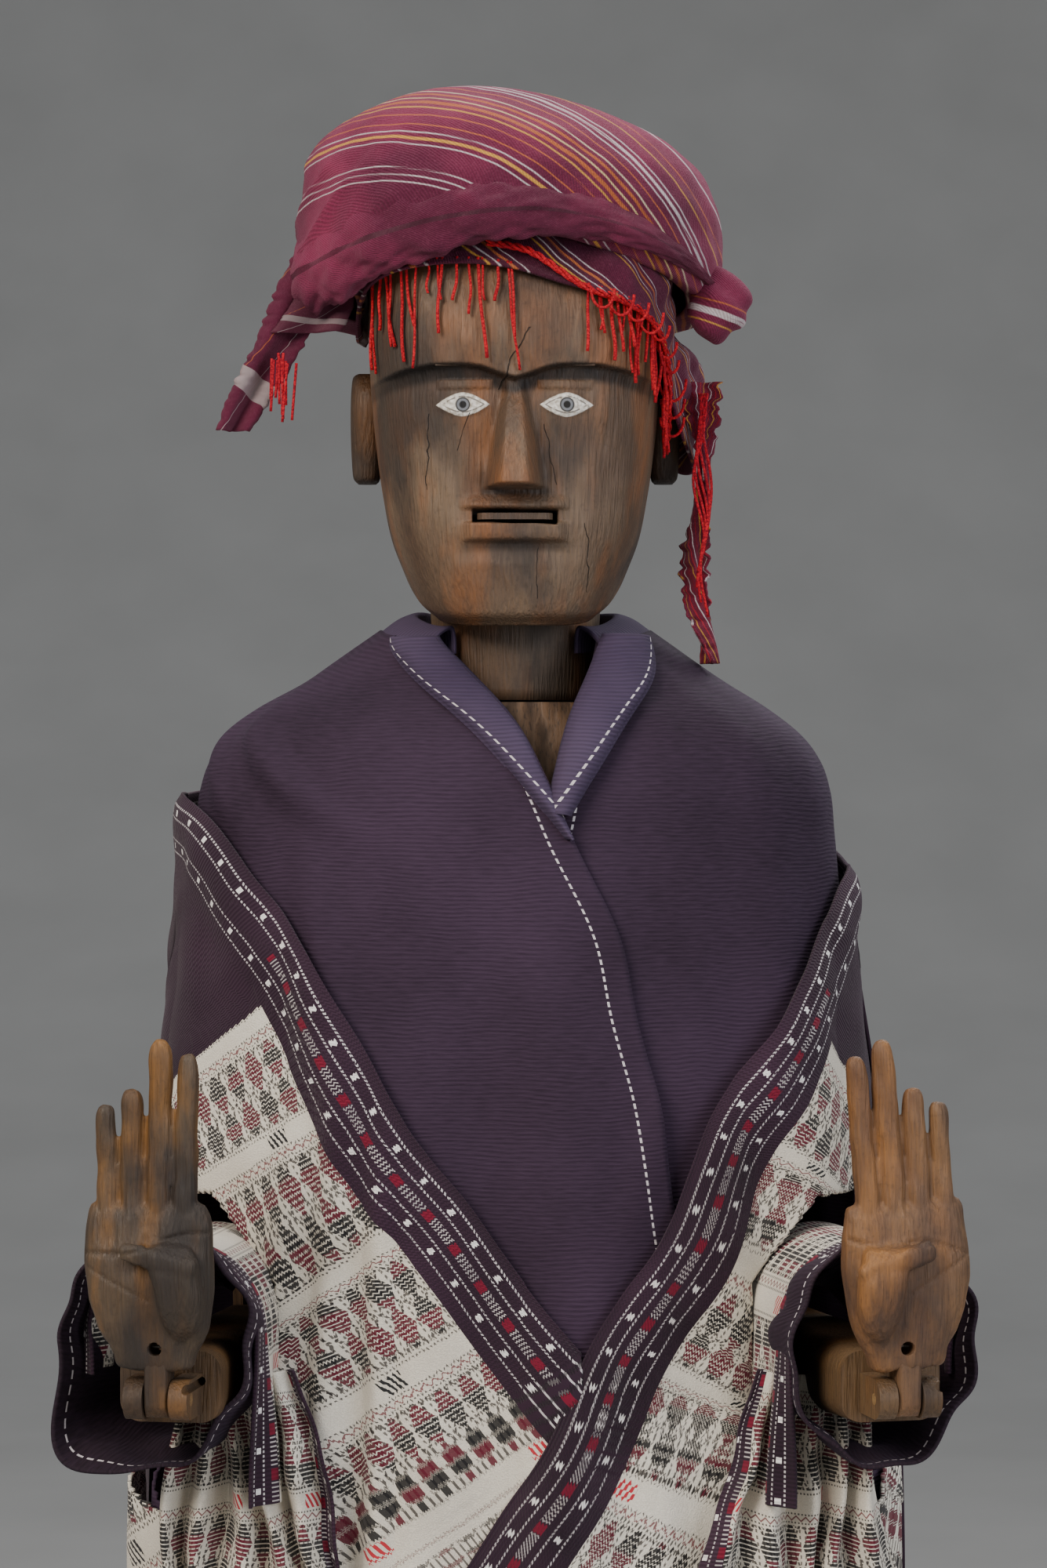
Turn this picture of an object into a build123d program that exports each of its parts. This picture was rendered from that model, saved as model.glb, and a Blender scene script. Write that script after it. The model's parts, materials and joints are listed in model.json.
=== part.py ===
"""String-worked wooden puppet: a carved head, arms and hands that move on a standing, dressed body.

Millimetres. +Z is up, the puppet faces -Y and its left hand is on +X. The origin is at the middle of the
underside of the base board. Heights are stacked from the board upwards, so a changed length carries
everything above it. The arms are built in a frame of their own at each elbow, turned by the arm's splay.
"""

import os
from math import asin, degrees

from build123d import *

# Base, feet, legs and hips
board_width, board_depth, board_thick = 440.0, 400.0, 40.0
board_corner = 12.0
outlet_width, outlet_depth, outlet_y = 90.0, 40.0, 120.0
foot_length, foot_width, foot_height = 210.0, 84.0, 60.0
foot_toe_height, foot_heel_behind = 34.0, 62.0
leg_length, leg_spread = 500.0, 62.0
ankle_radius, calf_radius, knee_radius, thigh_radius = 31.0, 46.0, 38.0, 50.0
leg_tenon_radius, tenon_in_board, tenon_in_hips = 15.0, 24.0, 48.0
hip_width, hip_depth, hip_height = 226.0, 136.0, 90.0
shaft_width, shaft_depth = 70.0, 52.0
hip_edge, shaft_web, instep = 14.0, 8.0, 8.0

# Trunk, with the string shaft inside and a board over the opening in its back
trunk_height, trunk_half_width, trunk_half_depth = 346.0, 118.0, 72.0
trunk_foot_half_width, trunk_foot_half_depth = 90.0, 60.0
trunk_neck_half_width, trunk_neck_half_depth = 60.0, 56.0
trunk_wall, trunk_top_thick = 22.0, 30.0
trunk_dowel_radius, trunk_dowel_length = 5.0, 56.0
back_board_width, back_board_height, back_board_thick = 124.0, 262.0, 12.0
back_flat_y, back_window_margin = 52.0, 16.0
back_peg_radius, back_peg_length = 3.0, 20.0
guide_bar_height, guide_bar_depth, guide_bar_rise = 24.0, 18.0, 84.0
guide_hole_radius, guide_hole_count, guide_hole_pitch = 2.5, 7, 14.0

# Shoulders and arms
shoulder_below_top, axle_radius, run_gap = 71.0, 8.0, 0.06
side_gap, arm_thick, arm_depth = 3.0, 34.0, 50.0
axle_stick_out, axle_peg_radius, axle_peg_length = 8.0, 2.4, 30.0
upper_arm_length, elbow_forward = 278.0, -20.0
elbow_slot, elbow_tongue, elbow_pin_radius, elbow_pin_length = 14.4, 13.2, 4.0, 31.0
elbow_slot_deep, elbow_tongue_root, forearm_taper = 60.0, 6.0, 4.0
forearm_length, forearm_shoulder = 243.0, 35.0
forearm_half_width, forearm_half_height = 24.0, 20.0
wrist_half_width, wrist_half_height, wrist_body_back, wrist_body_rise = 26.0, 18.0, 23.0, 3.0
wrist_ear_width, wrist_ear_radius, wrist_pin_radius = 9.6, 10.0, 3.0
wrist_tongue, wrist_side_gap, ear_root = 12.4, 0.45, 6.0
wrist_out = {"right": 176.0, "left": 194.0}
string_hole_radius, string_bore_radius, string_bore_rise = 3.6, 2.4, 6.0

# Hands: each finger is (towards the thumb from the wrist line, width, tip above the wrist pin)
fingers = [(15.0, 11.0, 172.0), (1.2, 12.0, 179.0), (-13.4, 11.6, 154.0), (-26.6, 10.0, 146.0)]
finger_thick, finger_root = 12.0, 84.0
palm_rows = [(14.6, 20.0, 9.0), (34.0, 28.5, 11.0), (62.0, 32.5, 12.5), (93.0, 31.0, 10.0)]
palm_shift = -5.0
thumb_width, thumb_thick, thumb_length, thumb_rise = 17.0, 13.0, 46.0, 62.0
thumb_in, thumb_slope, hand_lap = 8.0, 14.0, 4.0
hand_lean = {"right": 0.0, "left": 4.0}
staple_radius, staple_length, staple_rise = 0.8, 16.0, 26.0

# Head, neck and the pieces that move in the face
neck_gap, neck_radius, neck_foot_radius, chin_rise = 1.4, 48.0, 44.0, 41.0
head_half_width, head_half_depth, head_height = 80.0, 96.0, 250.0
jaw_ring, jaw_slope, neck_lap = 85.0, 0.667, 12.0
face_far = 150.0
cavity_half_width, cavity_front, cavity_back, cavity_floor = 46.0, 58.0, 58.0, 46.0
peg_radius, peg_bore_radius, peg_below_tiller, peg_in_head = 15.0, 6.0, 4.0, 60.0
tiller_length, tiller_side, tiller_height, tiller_below = 76.0, 7.0, 18.0, 5.0
wedge_thick, wedge_width = 5.0, 9.0
brow_rise, brow_height, brow_front, brow_half_width, brow_round = 135.0, 27.0, 104.0, 64.0, 20.0
eye_out, lid_width, lid_thick, lid_height, lid_travel = 28.0, 28.0, 2.6, 22.0, 14.0
lid_front, lid_gap, lid_tab_width, lid_tab_height = 97.0, 0.5, 6.0, 6.0
lid_lip, lid_slot_below, lath_past_lid = 3.0, 5.0, 8.0
lath_thick, lath_height, lath_back = 6.0, 10.0, 46.0
nose_rise, nose_height, nose_half_width, nose_out = 72.0, 62.0, 17.5, 120.0
nose_root, nose_set_back = 70.0, 8.0
mouth_rise, mouth_width, mouth_height, lip_out, lip_height = 55.0, 44.0, 7.0, 99.0, 20.0
lip_side, lip_root, lip_round = 4.0, 40.0, 7.0
tongue_width, tongue_thick, tongue_length, tongue_front, tongue_round = 40.0, 3.4, 44.0, 93.0, 5.0
ear_rise, ear_height, ear_depth, ear_thick, ear_back, ear_let_in = 82.0, 57.0, 34.0, 12.0, 4.0, 16.0

# Turban: a wound cloth, a lower striped band, a knot and two loose tails
turban_gap, turban_rise, turban_height, turban_swell = 1.0, 170.0, 128.0, 31.0
band_drop, band_thick, band_height = 2.0, 9.0, 11.0
tail_clear, tail_round, knot_rise = 3.0, 6.0, 6.0
tail_width, tail_thick, tail_drop, tail_out = 50.0, 24.0, 80.0, 60.0
strip_thick, strip_length, strip_gap, strip_drop = 10.0, 169.0, 2.5, 17.5
strip_rows = [(0.0, -8.0, 26.0, 0.5), (0.42, -10.0, 20.0, 0.5), (1.0, -10.0, 9.0, 0.7)]
knot_radius = 17.0

# Clothes
robe_clear, robe_thick, robe_half_depth, robe_hem = 6.0, 4.0, 108.0, 500.0
robe_flare, robe_top_rise, robe_top_radius = 28.0, 97.0, 76.0
neckline_half_width, neckline_drop, neckline_shift = 62.0, 108.0, 4.0
collar_thick, collar_top_radius, collar_foot_radius, collar_height, collar_top = 4.0, 61.0, 68.0, 40.0, 54.0
collar_gap_top, collar_gap_foot = 104.0, 40.0
shawl_gap, shawl_thick, shawl_hem, shawl_top_rise, shawl_seam = 1.5, 4.0, 430.0, 20.0, 0.3
shawl_point_x, shawl_point_rise = 30.0, 10.0
shawl_edge_x, shawl_edge_rise, shawl_left_lower = 190.0, 8.0, 40.0
armhole_in, armhole_back, armhole_high, armhole_below = 96.0, 32.0, 92.0, 10.0
sarong_half_width, sarong_half_depth, sarong_thick = 119.0, 86.0, 4.0
sarong_flare_x, sarong_flare_y = 57.0, 52.0
sarong_hem, sarong_top = 112.0, 570.0
sleeve_thick, sleeve_start, sleeve_end = 3.0, 78.0, 205.0
sleeve_back_half_width, sleeve_back_half_height, sleeve_back_rise = 36.0, 34.0, 2.0
sleeve_half_width, sleeve_half_height, sleeve_rise = 47.0, 54.0, 24.0
sleeve_shift = {"right": 13.0, "left": 0.0}

# Heights and places that follow from the sizes above
board_top = board_thick
foot_top = board_top + foot_height
hip_foot = foot_top + leg_length
trunk_foot = hip_foot + hip_height
trunk_top = trunk_foot + trunk_height
shoulder_z = trunk_top - shoulder_below_top
elbow_z = shoulder_z - upper_arm_length
arm_inner = trunk_half_width + side_gap
arm_x = arm_inner + arm_thick / 2
arm_outer = arm_inner + arm_thick
axle_end = arm_outer + axle_stick_out
neck_foot = trunk_top + neck_gap
chin_z = neck_foot + chin_rise
crown_z = chin_z + head_height
tiller_top = trunk_top - trunk_top_thick - tiller_below
tiller_foot = tiller_top - tiller_height
peg_foot = tiller_foot - peg_below_tiller
peg_top = neck_foot + peg_in_head
robe_half_width = axle_end + robe_clear + robe_thick
elbow_y = -elbow_forward
sides = {"right": -1.0, "left": 1.0}
far = 2 * trunk_top
splay = {name: degrees(asin((wrist_out[name] - arm_x) / forearm_length)) for name in sides}


def save(name, shape):
    """Write one named piece."""
    export_step(shape, f"parts/{name}.step")


def block(x0, x1, y0, y1, z0, z1):
    """Plain box between its lowest and highest corners."""
    return Pos((x0 + x1) / 2, (y0 + y1) / 2, (z0 + z1) / 2) * Box(x1 - x0, y1 - y0, z1 - z0)


def rod_x(radius, length):
    """Cylinder along X, centred."""
    return Rot(0, 90, 0) * Cylinder(radius, length)


def rod_y(radius, length):
    """Cylinder along Y, centred."""
    return Rot(90, 0, 0) * Cylinder(radius, length)


def side_prism(points, half_width):
    """Solid of an outline of (y, z) points, as far to both sides of the middle plane."""
    return extrude(Plane.YZ * make_face(Polyline(*points, close=True)), half_width, both=True)


def front_prism(points, y0, y1):
    """Solid of an outline of (x, z) points, from y0 back to y1."""
    face = Plane.XZ * make_face(Polyline(*points, close=True))
    return Pos(0, y1, 0) * extrude(face, y1 - y0)


def stack(rows, grow=0.0, roundness=0.8):
    """Solid through level rounded rectangles: rows of (z, x, y, half width, half depth)."""
    slices = []
    for z, x, y, half_x, half_y in rows:
        wide, deep = half_x + grow, half_y + grow
        slices.append(Pos(x, y, z) * RectangleRounded(2 * wide, 2 * deep, roundness * min(wide, deep)))
    return loft(slices, ruled=True)


def ovals(rows, grow=0.0):
    """Solid through level ellipses: rows of (z, x, y, half width, half depth)."""
    return loft([Pos(x, y, z) * Ellipse(a + grow, b + grow) for z, x, y, a, b in rows], ruled=True)


def along(rows):
    """Solid through upright rounded rectangles: rows of (y, x, z, half width, half height, roundness)."""
    slices = []
    for y, x, z, half_x, half_z, roundness in rows:
        outline = RectangleRounded(2 * half_x, 2 * half_z, roundness * min(half_x, half_z))
        slices.append(Pos(x, y, z) * Rot(90, 0, 0) * outline)
    return loft(slices, ruled=True)


# ---------------------------------------------------------------- base, legs and hips

def base_board():
    """Plank that the feet are let into, with a slot behind them where the strings leave."""
    board = block(-board_width / 2, board_width / 2, -board_depth / 2, board_depth / 2, 0, board_top)
    board = fillet(board.edges().filter_by(Axis.Z), board_corner)
    for sign in sides.values():
        hole_z = board_top - tenon_in_board / 2
        board -= Pos(sign * leg_spread, 0, hole_z) * Cylinder(leg_tenon_radius, tenon_in_board)
    slot = Box(outlet_width, outlet_depth, 3 * board_thick)
    slot = fillet(slot.edges().filter_by(Axis.Z), 0.3 * outlet_depth)
    return board - Pos(0, outlet_y, 0) * slot


def foot(sign):
    """Carved foot, lower at the toes, bored for the leg's tenon."""
    toe_y = foot_heel_behind - foot_length
    outline = RectangleRounded(foot_width, foot_length, 0.42 * foot_width)
    middle = (foot_heel_behind + toe_y) / 2
    body = Pos(0, middle, board_top) * extrude(outline, foot_height)
    ankle_front = -ankle_radius - instep
    above = foot_height + 1
    past_toe = toe_y - 1
    slope = [(ankle_front, foot_height), (past_toe, foot_toe_height), (past_toe, above), (ankle_front, above)]
    body -= Pos(0, 0, board_top) * side_prism(slope, foot_width)
    bore = Cylinder(leg_tenon_radius, foot_height * 2)
    return Pos(sign * leg_spread, 0, 0) * (body - Pos(0, 0, board_top + foot_height / 2) * bore)


def leg(sign):
    """Turned leg with a tenon through the foot into the board and another in the hips."""
    heights = [(0.0, ankle_radius), (0.28, calf_radius), (0.5, knee_radius), (1.0, thigh_radius)]
    slices = [Pos(0, 0, foot_top + part * leg_length) * Circle(radius) for part, radius in heights]
    body = loft(slices, ruled=True)
    low = foot_height + tenon_in_board
    body += Pos(0, 0, foot_top - low / 2) * Cylinder(leg_tenon_radius, low)
    body += Pos(0, 0, hip_foot + tenon_in_hips / 2) * Cylinder(leg_tenon_radius, tenon_in_hips)
    return Pos(sign * leg_spread, 0, 0) * body


def hip_block():
    """Block that joins the legs to the trunk, with the string shaft through it."""
    half_x, half_y = hip_width / 2, hip_depth / 2
    body = block(-half_x, half_x, -half_y, half_y, hip_foot, trunk_foot)
    body = fillet(body.edges().filter_by(Axis.Z), hip_edge)
    shaft_half = min(shaft_width / 2, leg_spread - leg_tenon_radius - shaft_web)
    body -= block(-shaft_half, shaft_half, -shaft_depth / 2, shaft_depth / 2, hip_foot - 1, trunk_foot + 1)
    for sign in sides.values():
        hole = Cylinder(leg_tenon_radius, tenon_in_hips)
        body -= Pos(sign * leg_spread, 0, hip_foot + tenon_in_hips / 2) * hole
    return body - trunk_dowels()


def trunk_dowels():
    """Four dowels between the hips and the trunk's wall."""
    x = trunk_foot_half_width - trunk_wall / 2
    front = trunk_foot_half_depth - trunk_wall / 2
    back = (trunk_foot_half_depth - trunk_wall + back_flat_y) / 2
    spots = [(-x, 0), (x, 0), (0, -front), (0, back)]
    dowels = [Pos(px, py, trunk_foot) * Cylinder(trunk_dowel_radius, trunk_dowel_length) for px, py in spots]
    return Compound(children=dowels)


# ---------------------------------------------------------------- trunk and what it holds

def trunk_rows(grow=0.0):
    """Level outlines of the trunk from its foot to its top."""
    broad_x, broad_y = trunk_half_width + grow, trunk_half_depth + grow
    foot_x, foot_y = trunk_foot_half_width + grow, trunk_foot_half_depth + grow
    neck_x, neck_y = trunk_neck_half_width + grow, trunk_neck_half_depth + grow
    return [
        (trunk_foot, 0, 0, foot_x, foot_y),
        (shoulder_z - 0.25 * trunk_height, 0, 0, 0.9 * broad_x, 0.97 * broad_y),
        (shoulder_z - 2 * axle_radius, 0, 0, broad_x, broad_y),
        (shoulder_z + 2 * axle_radius, 0, 0, broad_x, broad_y),
        (trunk_top, 0, 0, neck_x, neck_y),
    ]


def torso_trunk():
    """Hollowed trunk, flat at the back, with the shaft open below and a window behind."""
    body = stack(trunk_rows())
    ceiling = trunk_top - trunk_top_thick
    hollow = stack(trunk_rows(-trunk_wall)) & block(-far, far, -far, far, trunk_foot - 1, ceiling)
    body -= hollow
    body -= block(-far, far, back_flat_y, far, trunk_foot - 1, trunk_top + 1)
    window_x = back_board_width / 2 - back_window_margin
    window_z0 = back_board_foot() + back_window_margin
    window_z1 = back_board_foot() + back_board_height - back_window_margin
    body -= block(-window_x, window_x, 0, far, window_z0, min(window_z1, ceiling))
    body -= Pos(0, 0, shoulder_z) * rod_x(axle_radius, 3 * trunk_half_width)
    body -= Pos(0, 0, trunk_top) * Cylinder(peg_radius + run_gap, 3 * trunk_top_thick)
    body -= guide_bar_blank()
    body -= back_board_pegs()
    return body - trunk_dowels()


def back_board_foot():
    """Height of the back board's lower edge."""
    return trunk_foot + 0.5 * (trunk_height - trunk_top_thick - back_board_height)


def back_board():
    """Board pegged over the opening in the trunk's back."""
    half = back_board_width / 2
    foot_z = back_board_foot()
    top_z = foot_z + back_board_height
    board = block(-half, half, back_flat_y, back_flat_y + back_board_thick, foot_z, top_z)
    board = chamfer(board.faces().sort_by(Axis.Y)[-1].edges(), 0.3 * back_board_thick)
    return board - back_board_pegs()


def back_board_pegs():
    """Six small pegs that hold the back board."""
    x = (back_board_width - back_window_margin) / 2
    z0 = back_board_foot() + back_window_margin / 2
    z1 = back_board_foot() + back_board_height - back_window_margin / 2
    y = back_flat_y + back_board_thick - back_peg_length / 2
    pegs = []
    for px in (-x, x):
        for pz in (z0, (z0 + z1) / 2, z1):
            pegs.append(Pos(px, y, pz) * rod_y(back_peg_radius, back_peg_length))
    return Compound(children=pegs)


def guide_bar_blank():
    """Bar across the trunk before its string holes."""
    z = trunk_foot + guide_bar_rise
    half = trunk_foot_half_width
    return block(-half, half, -guide_bar_depth / 2, guide_bar_depth / 2, z, z + guide_bar_height)


def string_guide_bar():
    """Bar let through the trunk's sides, bored with a row of string holes."""
    bar = guide_bar_blank()
    for i in range(guide_hole_count):
        x = (i - (guide_hole_count - 1) / 2) * guide_hole_pitch
        bar -= Pos(x, 0, trunk_foot + guide_bar_rise) * Cylinder(guide_hole_radius, 4 * guide_bar_height)
    return bar


def shoulder_axle():
    """Round rod through the trunk that carries both arms."""
    rod = Pos(0, 0, shoulder_z) * rod_x(axle_radius, 2 * axle_end)
    return rod - axle_pegs()


def axle_pegs():
    """Linch pegs outside each arm."""
    x = arm_outer + axle_peg_radius + 1.0
    pegs = [Pos(s * x, 0, shoulder_z) * Cylinder(axle_peg_radius, axle_peg_length) for s in sides.values()]
    return Compound(children=pegs)


# ---------------------------------------------------------------- arms

def at_elbow(side):
    """Place of the forearm's own frame: X along the elbow pin, -Y along the forearm."""
    return Pos(sides[side] * arm_x, elbow_y, elbow_z) * Rot(0, 0, sides[side] * splay[side])


def at_wrist(side):
    """The same frame carried to the wrist pin."""
    return at_elbow(side) * Pos(0, -forearm_length, 0)


def upper_arm(side):
    """Arm from the axle to the elbow, slotted at its lower end."""
    x = sides[side] * arm_x
    half = arm_depth / 2
    shaft = [(-half, shoulder_z), (half, shoulder_z), (elbow_y + half, elbow_z), (elbow_y - half, elbow_z)]
    body = side_prism(shaft, arm_thick / 2)
    body += Pos(0, 0, shoulder_z) * rod_x(half, arm_thick)
    body += Pos(0, elbow_y, elbow_z) * rod_x(half, arm_thick)
    body -= Pos(0, 0, shoulder_z) * rod_x(axle_radius + run_gap, 2 * arm_thick)
    body = Pos(x, 0, 0) * body
    deep = elbow_slot_deep
    slot = block(-elbow_slot / 2, elbow_slot / 2, -deep, deep, -deep, forearm_shoulder)
    pin = rod_x(elbow_pin_radius, elbow_pin_length)
    return body - at_elbow(side) * (slot + pin)


def elbow_pin(side):
    """Peg through the elbow."""
    return at_elbow(side) * rod_x(elbow_pin_radius, elbow_pin_length)


def forearm(side):
    """Forearm with a tongue at the elbow and two ears at the wrist."""
    ear_start = -forearm_length + wrist_body_back
    body = along([
        (-forearm_shoulder, 0, 0, forearm_half_width - forearm_taper, forearm_half_height, 0.6),
        (-0.55 * forearm_length, 0, 0, forearm_half_width, forearm_half_height, 0.6),
        (ear_start, 0, wrist_body_rise, wrist_half_width, wrist_half_height, 0.6),
    ])
    half = elbow_tongue / 2
    tongue_half = 0.8 * forearm_half_height
    body += block(-half, half, -forearm_shoulder - elbow_tongue_root, 0, -tongue_half, tongue_half)
    body += rod_x(tongue_half, elbow_tongue)
    body -= rod_x(elbow_pin_radius + run_gap, 4 * arm_thick)
    gap_half = wrist_tongue / 2 + wrist_side_gap
    ear_x = gap_half + wrist_ear_width / 2
    for sign in (-1, 1):
        ear = Pos(0, -forearm_length, 0) * rod_x(wrist_ear_radius, wrist_ear_width)
        y0, y1 = -forearm_length, ear_start + ear_root
        half_ear = wrist_ear_width / 2
        ear += block(-half_ear, half_ear, y0, y1, -wrist_ear_radius, wrist_ear_radius)
        body += Pos(sign * ear_x, 0, 0) * ear
    body -= Pos(0, -forearm_length, 0) * rod_x(wrist_pin_radius, 4 * wrist_ear_width + wrist_tongue)
    bore = rod_y(string_bore_radius, 0.5 * forearm_length)
    return at_elbow(side) * (body - Pos(0.6 * wrist_half_width, ear_start, string_bore_rise) * bore)


def wrist_pin(side):
    """Peg through both wrist ears and the hand's tongue."""
    return at_wrist(side) * rod_x(wrist_pin_radius, 2 * (wrist_ear_width + wrist_side_gap) + wrist_tongue)


def hand(side):
    """Upright open hand, palm forward, the thumb laid across it."""
    inward = -sides[side]
    slices = []
    for rise, half_x, half_y in palm_rows:
        outline = RectangleRounded(2 * half_x, 2 * half_y, 0.7 * half_y)
        slices.append(Pos(inward * palm_shift * rise / palm_rows[-1][0], 0, rise) * outline)
    body = loft(slices, ruled=True)
    for offset, width, tip in fingers:
        length = tip - finger_root
        finger = Box(width, finger_thick, length)
        finger = fillet(finger.edges(), 0.3 * width)
        body += Pos(inward * offset, 0, finger_root + length / 2) * finger
    thumb = Box(thumb_length, thumb_thick, thumb_width)
    thumb = fillet(thumb.edges(), 0.3 * thumb_thick)
    front = -palm_rows[2][2] - 0.3 * thumb_thick
    body += Pos(inward * thumb_in, front, thumb_rise) * Rot(0, inward * thumb_slope, 0) * thumb
    body = Rot(0, -hand_lean[side] * sides[side], 0) * body
    tongue_half = wrist_ear_radius - 1
    top = palm_rows[0][0] + hand_lap
    body += block(-wrist_tongue / 2, wrist_tongue / 2, -tongue_half, tongue_half, 0, top)
    body += rod_x(tongue_half, wrist_tongue)
    body -= rod_x(wrist_pin_radius + run_gap, 4 * wrist_tongue)
    body -= Pos(0, 0, staple_rise) * rod_y(string_hole_radius, 4 * palm_rows[0][2])
    return at_wrist(side) * (body - staple_blank())


def staple_blank():
    """Straight wire across the string hole, in the hand's frame."""
    return Pos(0, 0, staple_rise) * rod_x(staple_radius, staple_length)


def hand_staple(side):
    """Wire that the hand's string is tied to."""
    return at_wrist(side) * staple_blank()


# ---------------------------------------------------------------- head

def head_rows():
    """Level ellipses of the head from chin to crown."""
    w, d, h = head_half_width, head_half_depth, head_height
    table = [
        (0.0, 0.45, 0.42, -0.26), (0.07, 0.66, 0.7, -0.14), (0.17, 0.83, 0.86, -0.08),
        (0.33, 0.93, 0.96, -0.02),
        (0.52, 0.99, 0.99, 0.0), (0.73, 1.0, 1.0, 0.02), (0.89, 0.87, 0.88, 0.02), (1.0, 0.5, 0.52, 0.02),
    ]
    return [(chin_z + part * h, 0, shift * d, wide * w, deep * d) for part, wide, deep, shift in table]


def head_block():
    """Carved head and neck, hollowed from above for the strings, with slots for lids and tongue."""
    body = ovals(head_rows())
    rise = jaw_slope * (jaw_ring - neck_radius)
    undercut = Pos(0, 0, chin_z + rise / 2) * Cone(jaw_ring, neck_radius, rise)
    below = block(-jaw_ring, jaw_ring, -jaw_ring, jaw_ring, chin_z - 1, chin_z)
    body -= undercut + below
    neck_top = chin_z + rise + neck_lap
    body += Pos(0, 0, (neck_foot + neck_top) / 2) * Cone(neck_foot_radius, neck_radius, neck_top - neck_foot)
    brow_z = chin_z + brow_rise
    brow = block(-brow_half_width, brow_half_width, -brow_front, 0, brow_z, brow_z + brow_height)
    body += fillet(brow.edges().filter_by(Axis.Z), brow_round)
    body += nose()
    lip_z = chin_z + mouth_rise - lip_height / 2
    lip_half = mouth_width / 2 + lip_side
    lips = block(-lip_half, lip_half, -lip_out, -lip_root, lip_z, lip_z + lip_height)
    body += fillet(lips.edges().filter_by(Axis.Y), lip_round)
    cavity_z = chin_z + cavity_floor
    wide = cavity_half_width
    body -= block(-wide, wide, -cavity_front, cavity_back, cavity_z, far)
    body -= Pos(0, 0, peg_foot) * Cylinder(peg_radius, 2 * (peg_top - peg_foot))
    body -= Pos(0, 0, chin_z) * Cylinder(peg_bore_radius, 2.1 * cavity_floor)
    mouth_z = chin_z + mouth_rise
    half = mouth_width / 2
    body -= block(-half, half, -face_far, 0, mouth_z - mouth_height / 2, mouth_z + mouth_height / 2)
    for sign in sides.values():
        body -= lid_slot(sign)
    return body


def nose():
    """Wedge nose with a flat underside."""
    z0 = chin_z + nose_rise
    bridge = brow_front - nose_set_back
    foot_outline = Polyline(
        (-nose_half_width, 0), (nose_half_width, 0), (0.5 * nose_half_width, -nose_out),
        (-0.5 * nose_half_width, -nose_out), close=True,
    )
    top_outline = Polyline(
        (-0.45 * nose_half_width, 0), (0.45 * nose_half_width, 0), (0.3 * nose_half_width, -bridge),
        (-0.3 * nose_half_width, -bridge), close=True,
    )
    slices = [Pos(0, 0, z0) * make_face(foot_outline), Pos(0, 0, z0 + nose_height) * make_face(top_outline)]
    return loft(slices, ruled=True) - block(-far, far, -nose_root, far, z0 - 1, z0 + nose_height + 1)


def lid_rest():
    """Height of the lids' lower edge with the eyes open."""
    return chin_z + brow_rise - 1


def lid_slot(sign):
    """Room for one lid in the brow, and for its tab through the face wall."""
    x = sign * eye_out
    half = lid_width / 2 + lid_gap
    z0, z1 = lid_rest() - lid_slot_below, lid_rest() + lid_height + lid_gap
    room = block(x - half, x + half, -lid_front - lid_gap, -lid_front + lid_thick + lid_gap, z0, z1)
    tab_half = lid_tab_width / 2 + lid_gap
    tab_top = lid_rest() + lid_height
    tab_low = tab_top - lid_tab_height - lid_travel - 2 * lid_gap
    room += block(x - tab_half, x + tab_half, -lid_front, 0, tab_low, tab_top + lid_gap)
    face_half = lid_width / 2 + lid_lip
    inner_y = -lid_front + lid_thick + lid_gap
    room += block(x - face_half, x + face_half, -face_far, inner_y, z0 - lid_travel, lid_rest())
    return room


def eyelid(sign):
    """Thin lid that drops over the painted eye, with a tab back to the lath."""
    x = sign * eye_out
    z0 = lid_rest()
    z1 = z0 + lid_height
    lid = block(x - lid_width / 2, x + lid_width / 2, -lid_front, -lid_front + lid_thick, z0, z1)
    half = lid_tab_width / 2
    lid += block(x - half, x + half, -lid_front, -lath_back - lath_thick, z1 - lid_tab_height, z1)
    return lid


def eyelid_lath():
    """Lath inside the head that joins the two lids, so one string works both."""
    z1 = lid_rest() + lid_height
    half = eye_out + lath_past_lid
    return block(-half, half, -lath_back - lath_thick, -lath_back, z1 - lath_height, z1)


def tongue():
    """Loose slip of wood in the mouth."""
    z = chin_z + mouth_rise
    half = tongue_width / 2
    slip = block(
        -half, half, -tongue_front, -tongue_front + tongue_length, z - tongue_thick / 2, z + tongue_thick / 2
    )
    return fillet(slip.edges().filter_by(Axis.Z), tongue_round)


def ear(sign):
    """Separate flat ear let on to the side of the head."""
    x0, x1 = head_half_width - ear_let_in, head_half_width + ear_thick
    z0 = chin_z + ear_rise
    plate = block(min(sign * x0, sign * x1), max(sign * x0, sign * x1), -ear_back, ear_depth - ear_back,
                  z0, z0 + ear_height)
    plate = fillet(plate.edges().filter_by(Axis.X), 0.35 * ear_depth)
    return plate - ovals(head_rows())


def neck_peg():
    """Hollow peg from the head down through the trunk's top."""
    length = peg_top - peg_foot
    peg = Pos(0, 0, (peg_top + peg_foot) / 2) * Cylinder(peg_radius, length)
    peg -= Pos(0, 0, (peg_top + peg_foot) / 2) * Cylinder(peg_bore_radius, 2 * length)
    return peg - tiller_wedge()


def head_tiller():
    """Cross bar on the neck peg, bored at its ends for the two strings that turn the head."""
    half_x, half_y = tiller_length / 2, peg_radius + tiller_side
    bar = block(-half_x, half_x, -half_y, half_y, tiller_foot, tiller_top)
    bar = fillet(bar.edges().filter_by(Axis.Z), tiller_side)
    bar -= Pos(0, 0, tiller_foot) * Cylinder(peg_radius, 4 * tiller_height)
    hole_x = half_x - tiller_side
    for sign in sides.values():
        bar -= Pos(sign * hole_x, 0, tiller_foot) * Cylinder(guide_hole_radius, 4 * tiller_height)
    return bar - tiller_wedge()


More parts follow.
